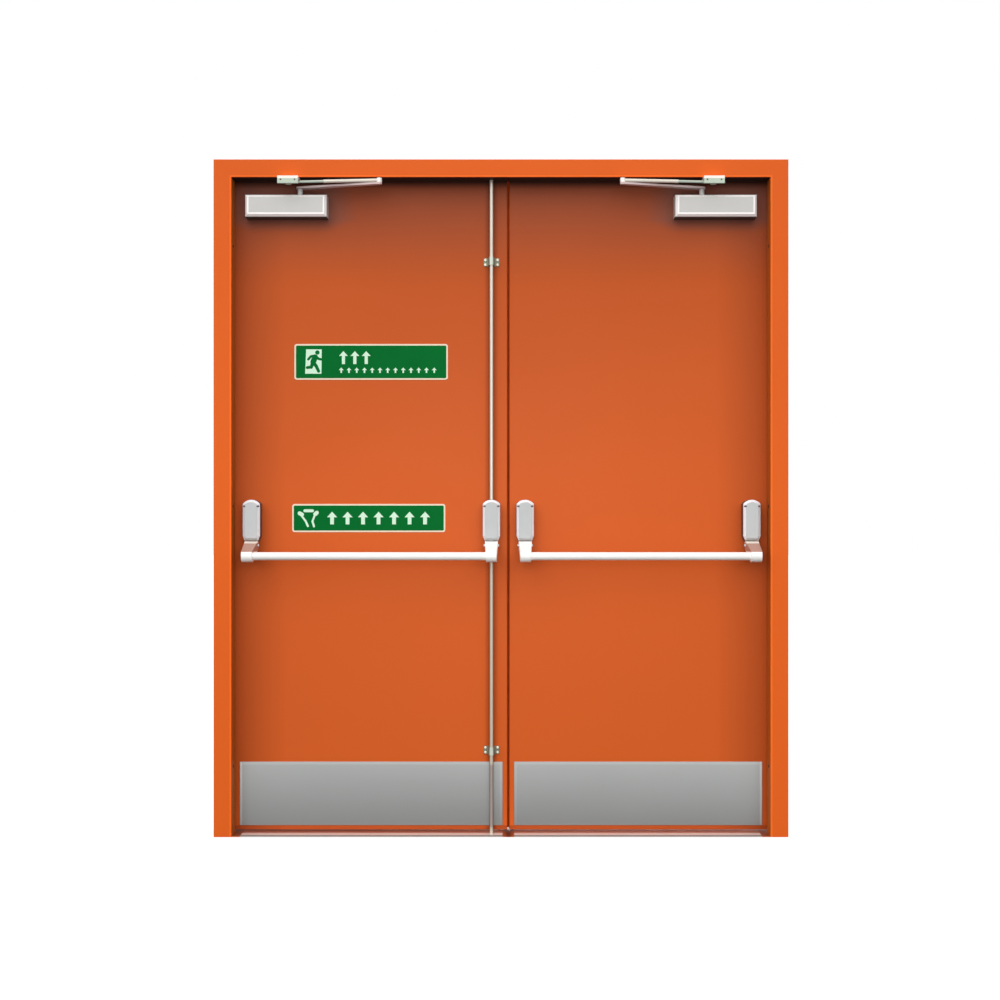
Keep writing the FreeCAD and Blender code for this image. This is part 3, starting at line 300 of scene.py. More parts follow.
def leafTone(nodes, axes, colour):
    across, up = abs(axes[0]), axes[2]
    low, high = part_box("right_leaf_push_skin")
    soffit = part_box("frame_head")[0].z
    near, far = leafPaint["sideShade"]
    # painted shade: darker towards the top, and a painted shadow just under the head
    amount = nodes.range(up, leafPaint["fadeFrom"], high.z, 1.0, leafPaint["fade"])
    for start, end in (("topShadow", "top"), ("corner", "cornerShade")):
        amount = amount * nodes.range(up, soffit - leafPaint[start], soffit, 1.0, leafPaint[end])
    # painted shade beside the jambs, a little deeper towards the foot
    beside = nodes.range(across, high.x - far, high.x - near, 0.0, 1.0)
    side = nodes.range(up, low.z, high.z, leafPaint["sideLow"], leafPaint["sideHigh"])
    # painted shadow along both sides of the bolt rods
    rod = (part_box("top_bolt_rod")[0].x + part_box("top_bolt_rod")[1].x) / 2
    amount = amount * nodes.range(abs(axes[0] - rod), leafPaint["rodNear"], leafPaint["rodFar"],
                                  leafPaint["rodTone"], 1.0)
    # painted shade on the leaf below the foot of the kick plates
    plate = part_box("right_kick_plate")[0].z
    foot = nodes.range(up, plate - faceReach, plate + faceReach, leafPaint["foot"], 1.0)
    amount = amount * (1 - beside * side) * foot
    face = 1 - nodes.rise(axes[1], low.y + leafPaint["faceDeep"])
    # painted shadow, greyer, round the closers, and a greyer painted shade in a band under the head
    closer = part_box("right_closer")
    middle, half = (closer[0] + closer[1]) / 2, (closer[1] - closer[0]) / 2
    beyond = nodes.either(abs(across - middle.x) - half.x, 0.0) / leafPaint["closerBeside"]
    beyond = beyond + nodes.either(abs(up - middle.z) - half.z, 0.0) / leafPaint["closerBelow"]
    closerShadow = nodes.range(beyond, 0.0, 1.0, leafPaint["closerShare"], 0.0)
    band = nodes.range(up, soffit - leafPaint["shadeBand"], soffit - leafPaint["corner"],
                       0.0, leafPaint["bandShare"])
    colour = nodes.paint(nodes.either(closerShadow, band) * face, colour, leafPaint["shadeHue"])
    return nodes.shade(colour, 1 - (1 - amount) * face)


# Kick plates: painted shade, darker towards the floor, and a painted highlight along the top and the sides
plateSteel = {
    "colour": (155, 157, 156), "metallic": 0.75, "roughness": 0.36, "drift": 0.05,
    "driftScale": 2.0, "grain": (3.0, 40.0, 900.0), "scratch": 0.12, "foot": 0.6,
    "border": 0.009, "borderHighlight": 1.13, "outerBorder": 0.008, "outerHighlight": 1.5}


def plateTone(nodes, axes, colour):
    low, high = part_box("right_kick_plate")
    meeting = (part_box("left_kick_plate")[1].x + low.x) / 2
    # painted highlight along the top and the meeting edge, and a stronger one along the outer edge
    border = plateSteel["border"]
    edge = nodes.either(
        nodes.rise(axes[2], high.z - border, blend["fine"]),
        1 - nodes.rise(abs(axes[0] - meeting), low.x - meeting + border, blend["fine"]))
    outer = nodes.rise(abs(axes[0]), high.x - plateSteel["outerBorder"], blend["fine"])
    pale = nodes.either(edge * (plateSteel["borderHighlight"] - 1), outer * (plateSteel["outerHighlight"] - 1))
    # painted shade, darker towards the floor
    shadeToFloor = nodes.range(axes[2], low.z, high.z, plateSteel["foot"], 1.0)
    return nodes.shade(colour, shadeToFloor * (1 + pale))


# Threshold: grey metal, with a pale painted reflection of the kick plates along the tread, painted
# shade behind it, and a painted orange reflection at its ends and in the middle
thresholdSteel = {
    "colour": (154, 147, 142), "metallic": 0.6, "roughness": 0.34, "drift": 0.05, "driftScale": 3.0,
    "grain": (4.0, 300.0, 300.0), "scratch": 0.1, "plateReflection": (252, 238, 230), "reflectionFrom": -0.041,
    "reflectionTo": -0.014, "back": (192, 112, 78), "end": 0.026, "orangeReflection": (160, 84, 44),
    "middleReflection": (104, 46, 14), "middleFrom": 0.2, "middleTo": 0.6}


def thresholdTone(nodes, axes, colour):
    left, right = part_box("left_kick_plate")[1].x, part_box("right_kick_plate")[0].x
    middle, half = (left + right) / 2, (right - left) / 2
    away = abs(axes[0] - middle)
    # painted reflection of the kick plates, pale along the tread
    plateReflection = nodes.rise(axes[1], thresholdSteel["reflectionFrom"], blend["fine"])
    # painted shade behind the tread, under the leaves
    back = nodes.rise(axes[1], thresholdSteel["reflectionTo"], blend["wide"])
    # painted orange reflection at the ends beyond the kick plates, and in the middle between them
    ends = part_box("right_jamb")[0].x - thresholdSteel["end"]
    colour = nodes.paint(plateReflection, colour, thresholdSteel["plateReflection"])
    colour = nodes.paint(back, colour, thresholdSteel["back"])
    colour = nodes.paint(nodes.rise(abs(axes[0]), ends, blend["soft"]), colour, thresholdSteel["orangeReflection"])
    outward = nodes.range(away, half * thresholdSteel["middleFrom"], half * thresholdSteel["middleTo"],
                          0.0, 1.0)
    orangeReflection = nodes.paint(outward, screenColour(*thresholdSteel["middleReflection"]), thresholdSteel["orangeReflection"])
    return nodes.mix(nodes.rise(away, half, blend["soft"]), orangeReflection, colour)


# Closers: a painted highlight as a pale rim round the front, and painted shade on the underside
closerSilver = {
    "colour": (198, 196, 193), "metallic": 0.1, "roughness": 0.42, "smudge": 0.08, "specular": 0.3,
    "drift": 0.04, "smudgeScale": 12.0, "grainScale": 1100.0, "grain": 0.12, "bevel": 0.006,
    "rimSide": 0.012, "rimTop": 0.008, "rimFoot": 0.013, "rim": (252, 248, 246),
    "under": (58, 48, 46), "end": 0.02}


def closerTone(node):
    low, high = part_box(node)
    # the housing's own top, taken at one end, where nothing stands on it
    end = low.x + closerSilver["end"]
    top = max(point.co.z for point in frame["nodes"][node].data.vertices if point.co.x < end)

    def tone(nodes, axes, colour):
        across, deep, up = abs(axes[0] - (low.x + high.x) / 2), axes[1], axes[2]
        front = 1 - nodes.rise(deep, low.y + closerSilver["bevel"])
        # painted highlight: a pale rim round the front face
        rim = nodes.rise(across, (high.x - low.x) / 2 - closerSilver["rimSide"])
        rim = nodes.either(rim, nodes.within(up, top - closerSilver["rimTop"], top + faceReach))
        rim = nodes.either(rim, 1 - nodes.rise(up, low.z + closerSilver["rimFoot"]))
        pale = nodes.paint(rim * front, colour, closerSilver["rim"])
        # painted shade on the underside
        under = (1 - nodes.rise(up, low.z + faceReach)) * (1 - front)
        return nodes.paint(under, pale, closerSilver["under"])
    return tone


# Closer shoes: a painted highlight along the top
shoeSilver = dict(closerSilver, colour=(188, 202, 185), strip=(250, 241, 232), stripHeight=0.008)


def shoeTone(nodes, axes, colour):
    # painted highlight along the top of the shoe
    strip = nodes.rise(axes[2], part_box("left_closer_shoe")[1].z - shoeSilver["stripHeight"])
    return nodes.paint(strip, colour, shoeSilver["strip"])


# Forearms: a dull thin rod in a brighter sleeve, bright again at the elbow
forearmSilver = dict(closerSilver, colour=(226, 221, 208), rod=(182, 194, 182), rodShare=0.4,
                     elbow=(250, 247, 240), elbowShare=0.05)
armSilver = dict(closerSilver, colour=(206, 184, 182))


def forearmTone(nodes, axes, colour):
    low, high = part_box("right_forearm")
    length = high.x - low.x
    across = abs(axes[0])
    rod = nodes.rise(across, high.x - forearmSilver["rodShare"] * length)
    colour = nodes.paint(rod, colour, forearmSilver["rod"])
    beyond = nodes.rise(across, low.x + forearmSilver["elbowShare"] * length)
    return nodes.mix(beyond, screenColour(*forearmSilver["elbow"]), colour)


# Bar cases: a silver front, a painted highlight on the bevel, and painted shade on the sides, on
# the bevel at the foot and in dark marks round the dimples. The inner two are painted a little darker
caseSilver = {
    "colour": (190, 192, 192), "metallic": 0.1, "roughness": 0.42, "smudge": 0.06, "specular": 0.3,
    "drift": 0.04, "smudgeScale": 14.0, "grainScale": 1100.0, "grain": 0.12, "bevel": 0.008,
    "bevelHighlight": (232, 234, 238), "side": (92, 78, 76), "foot": (178, 177, 175),
    "mark": (92, 88, 96), "markSize": (0.0045, 0.003), "markIn": 0.0055, "markDown": 0.0205,
    "markFade": (0.5, 1.3), "innerShade": 0.87, "bevelFrom": 0.0006, "footAbove": 0.002}


def caseTone(node):
    low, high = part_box(node)
    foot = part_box("left_outer_bar_arm")[1].z + caseSilver["footAbove"]

    def tone(nodes, axes, colour):
        across, deep, up = abs(axes[0] - (low.x + high.x) / 2), axes[1], axes[2]
        half = (high.x - low.x) / 2
        # painted shade: the inner two cases a little darker
        colour = nodes.shade(colour, caseSilver["innerShade"] if "inner" in node else 1.0)
        # painted highlight on the bevel and everything behind the front face
        bevel = nodes.rise(deep, low.y + caseSilver["bevelFrom"])
        colour = nodes.paint(bevel, colour, caseSilver["bevelHighlight"])
        # painted shade on the bevel at the foot, inside the side bevels
        below = bevel * (1 - nodes.rise(up, foot + caseSilver["bevel"], blend["soft"]))
        inner = 1 - nodes.rise(across, half - caseSilver["bevel"], blend["soft"])
        colour = nodes.paint(below * inner, colour, caseSilver["foot"])
        # painted shade in small dark marks below the top corners, round the dimples
        wide, tall = caseSilver["markSize"]
        beside = (across - (half - caseSilver["markIn"])) / wide
        above = (up - (high.z - caseSilver["markDown"])) / tall
        mark = nodes.range(beside * beside + above * above, *caseSilver["markFade"], 1.0, 0.0)
        colour = nodes.paint(mark, colour, caseSilver["mark"])
        # painted shade on the sides, behind the bevel
        side = nodes.rise(deep, low.y + caseSilver["bevel"])
        return nodes.paint(side, colour, caseSilver["side"])
    return tone


barSilver = {
    "colour": (249, 248, 245), "metallic": 0.0, "roughness": 0.34, "smudge": 0.08, "specular": 0.3,
    "drift": 0.03, "smudgeScale": 16.0, "grainScale": 1300.0, "grain": 0.08}

# Outer bar arms: painted shade, tinted pink, on the neck above the bar, and pale again round the pivot
outerArmSilver = dict(barSilver, neck=(180, 140, 125), neckAbove=0.001, hub=(238, 226, 214),
                      hubDeep=0.006)


def outerArmTone(nodes, axes, colour):
    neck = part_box("left_push_bar")[1].z + outerArmSilver["neckAbove"]
    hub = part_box("left_outer_bar_arm")[1].z - outerArmSilver["hubDeep"]
    # painted shade on the neck above the bar, tinted pink
    colour = nodes.paint(nodes.rise(axes[2], neck, blend["fine"]), colour, outerArmSilver["neck"])
    return nodes.paint(nodes.rise(axes[2], hub, blend["fine"]), colour, outerArmSilver["hub"])


# Bolt rods: pale above, duller below, painted shade down both sides, and darker over the kick plate
rodSteel = {
    "colour": (203, 193, 179), "metallic": 0.3, "roughness": 0.34, "drift": 0.05,
    "driftScale": 7.0, "grain": (900.0, 900.0, 12.0), "scratch": 0.08,
    "lower": (188, 176, 158), "plate": (150, 138, 132), "side": 0.5, "core": 0.0042}


def rodTone(nodes, axes, colour):
    low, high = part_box("top_bolt_rod")
    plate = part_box("left_kick_plate")
    colour = nodes.mix(nodes.rise(axes[2], low.z), screenColour(*rodSteel["lower"]), colour)
    overPlate = nodes.within(axes[2], plate[0].z, plate[1].z - blend["long"], blend["long"])
    colour = nodes.paint(overPlate, colour, rodSteel["plate"])
    # painted shade down both sides of the rod
    away = nodes.rise(abs(axes[0] - (low.x + high.x) / 2), rodSteel["core"], blend["fine"])
    return nodes.shade(colour, 1 - away * (1 - rodSteel["side"]))


# Rod guides: a dull plate with a pale band down its boss
guideSteel = {
    "colour": (112, 114, 98), "metallic": 0.3, "roughness": 0.4, "drift": 0.08, "driftScale": 40.0,
    "grain": (30.0, 500.0, 500.0), "scratch": 0.1, "boss": (188, 195, 180), "bossHalf": 0.0055}


def guideTone(nodes, axes, colour):
    low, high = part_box("upper_rod_guide")
    away = nodes.rise(abs(axes[0] - (low.x + high.x) / 2), guideSteel["bossHalf"], blend["fine"])
    return nodes.paint(1 - away, colour, guideSteel["boss"])


sealRubber = {
    "colour": (34, 32, 31), "metallic": 0.0, "roughness": 0.7, "smudge": 0.1, "specular": 0.3,
    "drift": 0.2, "smudgeScale": 18.0, "grainScale": 900.0, "grain": 0.2}
meetingRubber = dict(sealRubber, colour=(216, 98, 26))
coreBoard = {
    "colour": (176, 164, 132), "metallic": 0.0, "roughness": 0.9, "smudge": 0.05, "specular": 0.2,
    "drift": 0.25, "smudgeScale": 60.0, "grainScale": 500.0, "grain": 0.6}
hingeZinc = {
    "colour": (186, 188, 190), "metallic": 0.8, "roughness": 0.38, "drift": 0.08,
    "driftScale": 9.0, "grain": (500.0, 60.0, 60.0), "scratch": 0.1}
keeperSteel = dict(hingeZinc, grain=(60.0, 500.0, 60.0))
signGreen = {
    "colour": (2, 106, 44), "metallic": 0.0, "roughness": 0.45, "smudge": 0.08, "specular": 0.03,
    "drift": 0.08, "smudgeScale": 9.0, "grainScale": 700.0, "grain": 0.05}
signBorder = dict(signGreen, colour=(240, 224, 200), drift=0.04)
signMark = dict(signGreen, colour=(214, 244, 218), drift=0.04)
screwSteel = {
    "colour": (246, 234, 208), "metallic": 0.25, "roughness": 0.35, "drift": 0.06,
    "driftScale": 60.0, "grain": (400.0, 400.0, 400.0), "scratch": 0.1}
hingeScrewZinc = dict(screwSteel, colour=(160, 162, 164), metallic=0.8)
anchorSteel = {
    "colour": (62, 46, 38), "metallic": 0.6, "roughness": 0.5, "drift": 0.15,
    "driftScale": 60.0, "grain": (300.0, 300.0, 300.0), "scratch": 0.1}

# Finishes by the record's slots, and by node where a node has its own, as all four cases do
finishes = {
    "frame_paint": powderCoat("framePaint", framePaint, frameTone),
    "leaf_paint": powderCoat("leafPaint", leafPaint, leafTone),
    "stainless": brushedMetal("plateSteel", plateSteel, plateTone),
    "seal_rubber": satinCoat("sealRubber", sealRubber),
    "core_wool": satinCoat("coreBoard", coreBoard),
    "hinge_steel": brushedMetal("hingeZinc", hingeZinc),
    "closer_silver": satinCoat("armSilver", armSilver),
    "bar_silver": satinCoat("barSilver", barSilver),
    "rod_steel": brushedMetal("rodSteel", rodSteel, rodTone),
    "sign_green": satinCoat("signGreen", signGreen),
}
ownFinishes = {
    "threshold": brushedMetal("thresholdSteel", thresholdSteel, thresholdTone),
    "head_bolt_keeper": brushedMetal("keeperSteel", keeperSteel),
    "meeting_seal": satinCoat("meetingRubber", meetingRubber),
    "upper_rod_guide": brushedMetal("guideSteel", guideSteel, guideTone),
}
ownFinishes["lower_rod_guide"] = ownFinishes["upper_rod_guide"]
shoeFinish = satinCoat("shoeSilver", shoeSilver, shoeTone)
forearmFinish = satinCoat("forearmSilver", forearmSilver, forearmTone)
outerArmFinish = satinCoat("outerArmSilver", outerArmSilver, outerArmTone)
for side in ("left", "right"):
    ownFinishes[side + "_closer"] = satinCoat(
        side + "CloserSilver", closerSilver, closerTone(side + "_closer"))
    ownFinishes[side + "_closer_shoe"] = shoeFinish
    ownFinishes[side + "_forearm"] = forearmFinish
    ownFinishes[side + "_outer_bar_arm"] = outerArmFinish
    for end in ("outer", "inner"):
        node = side + "_" + end + "_case"
        ownFinishes[node] = satinCoat(side + end.title() + "CaseSilver", caseSilver, caseTone(node))
borderFinish = satinCoat("signBorder", signBorder)
markFinish = satinCoat("signMark", signMark)
screwFinish = brushedMetal("screwSteel", screwSteel)
hingeScrewFinish = brushedMetal("hingeScrewZinc", hingeScrewZinc)
anchorFinish = brushedMetal("anchorSteel", anchorSteel)

for entry in frame["record"]["subparts"]:
    node = entry["node"]
    for materialSlot in frame["nodes"][node].material_slots:
        materialSlot.material = ownFinishes.get(node) or finishes[entry["material_slot"]]
print("finishes: done")


# Signs: a rounded plate with a cream border and a green field, and raised marks on it
signPlate = {
    "border": 0.0050, "cornerRadius": 0.008, "fieldRadius": 0.004, "field": 0.0003, "mark": 0.0002,
    "markStep": 0.00001, "markRoom": 40, "arrowHead": 0.55}
signLayers = {"border": 0, "field": 1, "mark": 2}


def roundedCorners(left, right, low, high, radius, steps=6):
    # corner points of a rounded rectangle in X and Z, counterclockwise from the low left
    points = []
    centres = [
        (right - radius, low + radius, -90), (right - radius, high - radius, 0),
        (left + radius, high - radius, 90), (left + radius, low + radius, 180)]
    for across, up, start in centres:
        for step in range(steps + 1):
            angle = math.radians(start + 90 * step / steps)
            points.append((across + radius * math.cos(angle), up + radius * math.sin(angle)))
    return points


def addSlab(mesh, points, back, front, material):
    # closed slab between two depths, from points in X and Z that run counterclockwise
    rear = [mesh.verts.new((across, back, up)) for across, up in points]
    fore = [mesh.verts.new((across, front, up)) for across, up in points]
    faces = [mesh.faces.new(fore), mesh.faces.new(list(reversed(rear)))]
    for index in range(len(points)):
        after = (index + 1) % len(points)
        faces.append(mesh.faces.new((rear[index], rear[after], fore[after], fore[index])))
    for face in faces:
        face.material_index = material


def newPiece(name, mesh, materials, body, replaced=()):
    data = bpy.data.meshes.new(name)
    bmesh.ops.recalc_face_normals(mesh, faces=mesh.faces)
    mesh.to_mesh(data)
    mesh.free()
    for material in materials:
        data.materials.append(material)
    piece = bpy.data.objects.new(name, data)
    scene.collection.objects.link(piece)
    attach(piece, body)
    if replaced:
        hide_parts(*replaced)


def limb(start, end, width, steps=6):
    # round-ended stroke from start to end
    along = Vector(end) - Vector(start)
    turn = math.atan2(along.y, along.x)
    points = []
    for centre, first in ((end, -90), (start, 90)):
        for step in range(steps + 1):
            angle = turn + math.radians(first + 180 * step / steps)
            points.append((centre[0] + width / 2 * math.cos(angle),
                           centre[1] + width / 2 * math.sin(angle)))
    return points


def disc(centre, radius, steps=20):
    return [(centre[0] + radius * math.cos(2 * math.pi * step / steps),
             centre[1] + radius * math.sin(2 * math.pi * step / steps)) for step in range(steps)]


def arrowUp(centre, width, height, stem):
    # outline of a broad arrow
    across, up = centre
    neck = up + height / 2 - width * signPlate["arrowHead"]
    return [
        (across - stem / 2, up - height / 2), (across + stem / 2, up - height / 2),
        (across + stem / 2, neck), (across + width / 2, neck), (across, up + height / 2),
        (across - width / 2, neck), (across - stem / 2, neck)]


def makeSign(node, name, marks):
    low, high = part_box(node)
    rim = signPlate["border"]
    front = low.y + signPlate["mark"] + signPlate["markRoom"] * signPlate["markStep"]
    plate = bmesh.new()
    addSlab(plate, roundedCorners(low.x, high.x, low.z, high.z, signPlate["cornerRadius"]),
            high.y, front + signPlate["field"], signLayers["border"])
    inner = roundedCorners(low.x + rim, high.x - rim, low.z + rim, high.z - rim,
                           signPlate["fieldRadius"])
    addSlab(plate, inner, high.y - signPlate["field"], front, signLayers["field"])
    for index, (points, material) in enumerate(marks(low)):
        # each mark stands a little prouder than the one before, so that none share a face
        proud = front - signPlate["mark"] - index * signPlate["markStep"]
        addSlab(plate, points, front + signPlate["field"] / 2, proud, material)
    newPiece(name, plate, [borderFinish, finishes["sign_green"], markFinish], "left_leaf",
             (node,))


def arrowRow(low, row):
    places = [(low.x + row["left"] + index * row["step"], low.z + row["up"])
              for index in range(row["count"])]
    return [(arrowUp(place, *row["size"]), signLayers["mark"]) for place in places]


# The doorway, the head and the limbs' ends are in shares of the doorway, all else is in metres
exitPicture = {
    "left": 0.037, "floor": 0.019, "wide": 0.0495, "tall": 0.077, "head": (0.72, 0.87),
    "headRadius": 0.0070, "doorway": ((-0.06, 0), (0.98, 0), (1, 1), (0, 1)),
    "limbs": (
        ((0.58, 0.68), (0.45, 0.48), 0.0180), ((0.60, 0.72), (0.80, 0.61), 0.0078),
        ((0.80, 0.61), (0.95, 0.59), 0.0078), ((0.54, 0.74), (0.30, 0.71), 0.0078),
        ((0.30, 0.71), (0.14, 0.59), 0.0078), ((0.47, 0.46), (0.65, 0.31), 0.0108),
        ((0.65, 0.31), (0.80, 0.10), 0.0098), ((0.43, 0.46), (0.33, 0.27), 0.0108),
        ((0.33, 0.27), (0.07, 0.25), 0.0092)),
    "arrows": {"count": 3, "left": 0.155, "step": 0.036, "up": 0.070, "size": (0.028, 0.041, 0.010)},
    "lowArrows": {"count": 13, "left": 0.148, "step": 0.0245, "up": 0.030,
                  "size": (0.015, 0.017, 0.005)}}


def exitMarks(low):
    # a figure on the move in a pale doorway, three arrows ahead and a row of small ones
    left, floor = low.x + exitPicture["left"], low.z + exitPicture["floor"]

    def at(across, up):
        return (left + across * exitPicture["wide"], floor + up * exitPicture["tall"])

    marks = [([at(*corner) for corner in exitPicture["doorway"]], signLayers["mark"])]
    marks.append((disc(at(*exitPicture["head"]), exitPicture["headRadius"]), signLayers["field"]))
    for start, end, width in exitPicture["limbs"]:
        marks.append((limb(at(*start), at(*end), width), signLayers["field"]))
    return marks + arrowRow(low, exitPicture["arrows"]) + arrowRow(low, exitPicture["lowArrows"])


pushPicture = {
    "limbs": (
        ((0.040, 0.0675), (0.064, 0.0675), 0.0095), ((0.0235, 0.0595), (0.0310, 0.0555), 0.0125),
        ((0.0310, 0.0500), (0.0430, 0.0340), 0.0062), ((0.0430, 0.0340), (0.0495, 0.0190), 0.0066),
        ((0.0780, 0.0615), (0.0730, 0.0565), 0.0125), ((0.0700, 0.0500), (0.0640, 0.0340), 0.0062),
        ((0.0640, 0.0340), (0.0690, 0.0180), 0.0066)),
    "arrows": {"count": 7, "left": 0.126, "step": 0.049, "up": 0.0445,
               "size": (0.032, 0.040, 0.012)}}


def pushMarks(low):
    # two arms that push a bar, and seven arrows in the same direction
    def at(across, up):
        return (low.x + across, low.z + up)

    marks = []
    for start, end, width in pushPicture["limbs"]:
        marks.append((limb(at(*start), at(*end), width), signLayers["mark"]))
    return marks + arrowRow(low, pushPicture["arrows"])


makeSign("upper_sign", "upperSignPlate", exitMarks)
makeSign("lower_sign", "lowerSignPlate", pushMarks)
print("signs: done")


# Meeting seal: a thin lip runs forward from the bulb on the left leaf along the right leaf's edge
sealLip = {"root": 0.002, "tip": 0.0006, "bury": 0.002, "stop": 0.004, "steps": 5, "bend": 0.5}


def makeLip():
    low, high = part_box("meeting_seal")
    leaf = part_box("right_leaf_push_skin")[0]
    start = Vector((high.x - sealLip["root"], low.y + sealLip["bury"]))
    end = Vector((leaf.x - sealLip["tip"] / 2, leaf.y + sealLip["stop"]))
    near, far = [], []
    for step in range(sealLip["steps"] + 1):
        share = step / sealLip["steps"]
        middle = Vector((start.x + (end.x - start.x) * share ** sealLip["bend"],
                         start.y + (end.y - start.y) * share))
        half = (sealLip["root"] + (sealLip["tip"] - sealLip["root"]) * share) / 2
        near.append(middle - Vector((half, 0)))
        far.append(middle + Vector((half, 0)))
    outline = near + far[::-1]
    mesh = bmesh.new()
    foot = [mesh.verts.new((point.x, point.y, low.z)) for point in outline]
    head = [mesh.verts.new((point.x, point.y, high.z)) for point in outline]
    mesh.faces.new(list(reversed(foot)))
    mesh.faces.new(head)
    for index in range(len(outline)):
        after = (index + 1) % len(outline)
        mesh.faces.new((foot[index], foot[after], head[after], head[index]))
    newPiece("meetingSealLip", mesh, [ownFinishes["meeting_seal"]], "left_leaf")


makeLip()
print("meeting seal: done")


# Screws: one domed head with a cross recess, set on points by a node tree
screwHead = {
    "sides": 24, "rings": [(1.0, 0.0), (1.0, 0.12), (0.86, 0.34), (0.62, 0.46)],
    "crossReach": 0.46, "crossWidth": 0.28, "crossFloor": 0.16, "crossTaper": 0.7}
screwSizes = {
    "guideRadius": 0.0042, "guideAcross": 0.019, "guideUp": 0.0075, "hingeRadius": 0.0042,
    "hingeHalf": 0.05, "knuckle": 0.008, "shoeRadius": 0.0024, "shoeAcross": 0.0217,
    "shoeBelow": 0.0118, "anchorRadius": 0.0052, "anchorSunk": 0.0012}
# Columns as shares of a wing's width, and rows as shares of half its height
hingeGrids = {"leaf": ((0.25, 0.75), (-0.7, 0.7)), "frame": ((0.5,), (-0.7, 0, 0.7))}
screwSeeds = {"guides": 3, "left": 5, "right": 7, "fixings": 11}


def makeHeadShape(name):
    # one unit in radius, facing +Z
    mesh = bmesh.new()
    sides = screwHead["sides"]
    angles = [2 * math.pi * side / sides for side in range(sides)]
    loops = []
    for radius, height in screwHead["rings"]:
        loops.append([mesh.verts.new((radius * math.cos(angle), radius * math.sin(angle), height))
                      for angle in angles])
    for lower, upper in zip(loops, loops[1:]):
        for side in range(sides):
            after = (side + 1) % sides
            mesh.faces.new((lower[side], lower[after], upper[after], upper[side]))
    mesh.faces.new(list(reversed(loops[0])))
    half = screwHead["crossWidth"] / 2
    reach = screwHead["crossReach"]
    arm = [(reach, -half), (reach, half), (half, half)]
    cross = []
    for quarter in range(4):
        turn = Matrix.Rotation(quarter * math.pi / 2, 2)
        cross += [turn @ Vector(point) for point in arm]
    height = screwHead["rings"][-1][1]
    taper = screwHead["crossTaper"]
    top = [mesh.verts.new((point.x, point.y, height)) for point in cross]
    floor = [mesh.verts.new((point.x * taper, point.y * taper, screwHead["crossFloor"]))
             for point in cross]
    edges = []
    for index in range(len(cross)):
        after = (index + 1) % len(cross)
        mesh.faces.new((top[after], top[index], floor[index], floor[after]))
        edges.append(mesh.edges.get((top[index], top[after])))
    mesh.faces.new(floor)
    for side in range(sides):
        edges.append(mesh.edges.get((loops[-1][side], loops[-1][(side + 1) % sides])))
    bmesh.ops.triangle_fill(mesh, edges=edges, use_beauty=True)
    bmesh.ops.recalc_face_normals(mesh, faces=mesh.faces)
    data = bpy.data.meshes.new(name)
    mesh.to_mesh(data)
    mesh.free()
    return bpy.data.objects.new(name, data)


def makeScrewTree():
    # a head on every point, along the point's own facing, with a random turn about its axis
    tree = bpy.data.node_groups.new("screwRow", "GeometryNodeTree")
    for name, kind in (
            ("Points", "Geometry"), ("Head", "Object"), ("Turn", "Float"), ("Seed", "Int"),
            ("Finish", "Material")):
        tree.interface.new_socket(name, in_out="INPUT", socket_type="NodeSocket" + kind)
    tree.interface.new_socket("Screws", in_out="OUTPUT", socket_type="NodeSocketGeometry")
    nodes = Nodes(tree)
    given = tree.nodes.new("NodeGroupInput")
    entry = {socket.name: Signal(nodes, socket) for socket in given.outputs if socket.name}
    facing = nodes.add("GeometryNodeInputNamedAttribute", {"data_type": "FLOAT_VECTOR"},
                       {"Name": "facing"}, "Attribute")
    radius = nodes.add("GeometryNodeInputNamedAttribute", {"data_type": "FLOAT"},
                       {"Name": "radius"}, "Attribute")
    head = nodes.add("GeometryNodeObjectInfo", {}, {"Object": entry["Head"]}, "Geometry")
    spin = nodes.add("FunctionNodeRandomValue", {"data_type": "FLOAT"},
                     {"Min_001": 0.0, "Max_001": entry["Turn"], "Seed": entry["Seed"]}, "Value_001")
    aligned = nodes.add("FunctionNodeAlignRotationToVector", {"axis": "Z"}, {"Vector": facing})
    own = nodes.add("FunctionNodeAxisAngleToRotation", {}, {"Axis": (0, 0, 1), "Angle": spin})
    turned = nodes.add("FunctionNodeRotateRotation", {"rotation_space": "LOCAL"},
                       {"Rotation": aligned, "Rotate By": own})
    placed = nodes.add("GeometryNodeInstanceOnPoints", {}, {
        "Points": entry["Points"], "Instance": head, "Rotation": turned, "Scale": radius})
    whole = nodes.add("GeometryNodeRealizeInstances", {}, {"Geometry": placed})
    done = nodes.add("GeometryNodeSetMaterial", {}, {"Geometry": whole, "Material": entry["Finish"]})
    nodes.add("NodeGroupOutput", {}, {0: done})
    return tree


headShape = makeHeadShape("screwHeadShape")
screwTree = makeScrewTree()
screwInputs = {item.name: item.identifier for item in screwTree.interface.items_tree}


def screwPiece(name, body, finish, screws, seed):
    # screws is a list of (place, facing, radius)
    data = bpy.data.meshes.new(name)
    data.from_pydata([place for place, facing, radius in screws], [], [])
    data.attributes.new("facing", "FLOAT_VECTOR", "POINT")
    data.attributes.new("radius", "FLOAT", "POINT")
    for index, (place, facing, radius) in enumerate(screws):
        data.attributes["facing"].data[index].vector = facing
        data.attributes["radius"].data[index].value = radius
    piece = bpy.data.objects.new(name, data)
    scene.collection.objects.link(piece)
    row = piece.modifiers.new("screwRow", "NODES")
    row.node_group = screwTree
    row[screwInputs["Head"]] = headShape
    row[screwInputs["Turn"]] = math.pi
    row[screwInputs["Seed"]] = seed
    row[screwInputs["Finish"]] = finish
    graph = bpy.context.evaluated_depsgraph_get()
    whole = bpy.data.meshes.new_from_object(piece.evaluated_get(graph), depsgraph=graph)
    piece.modifiers.clear()
    piece.data = whole
    whole.name = name
    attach(piece, body)


def faceAt(node, point, facing):
    # where a line against facing meets the node, from outside
    facing = Vector(facing)
    return frame["nodes"][node].ray_cast(Vector(point) + facing, -facing)[1]


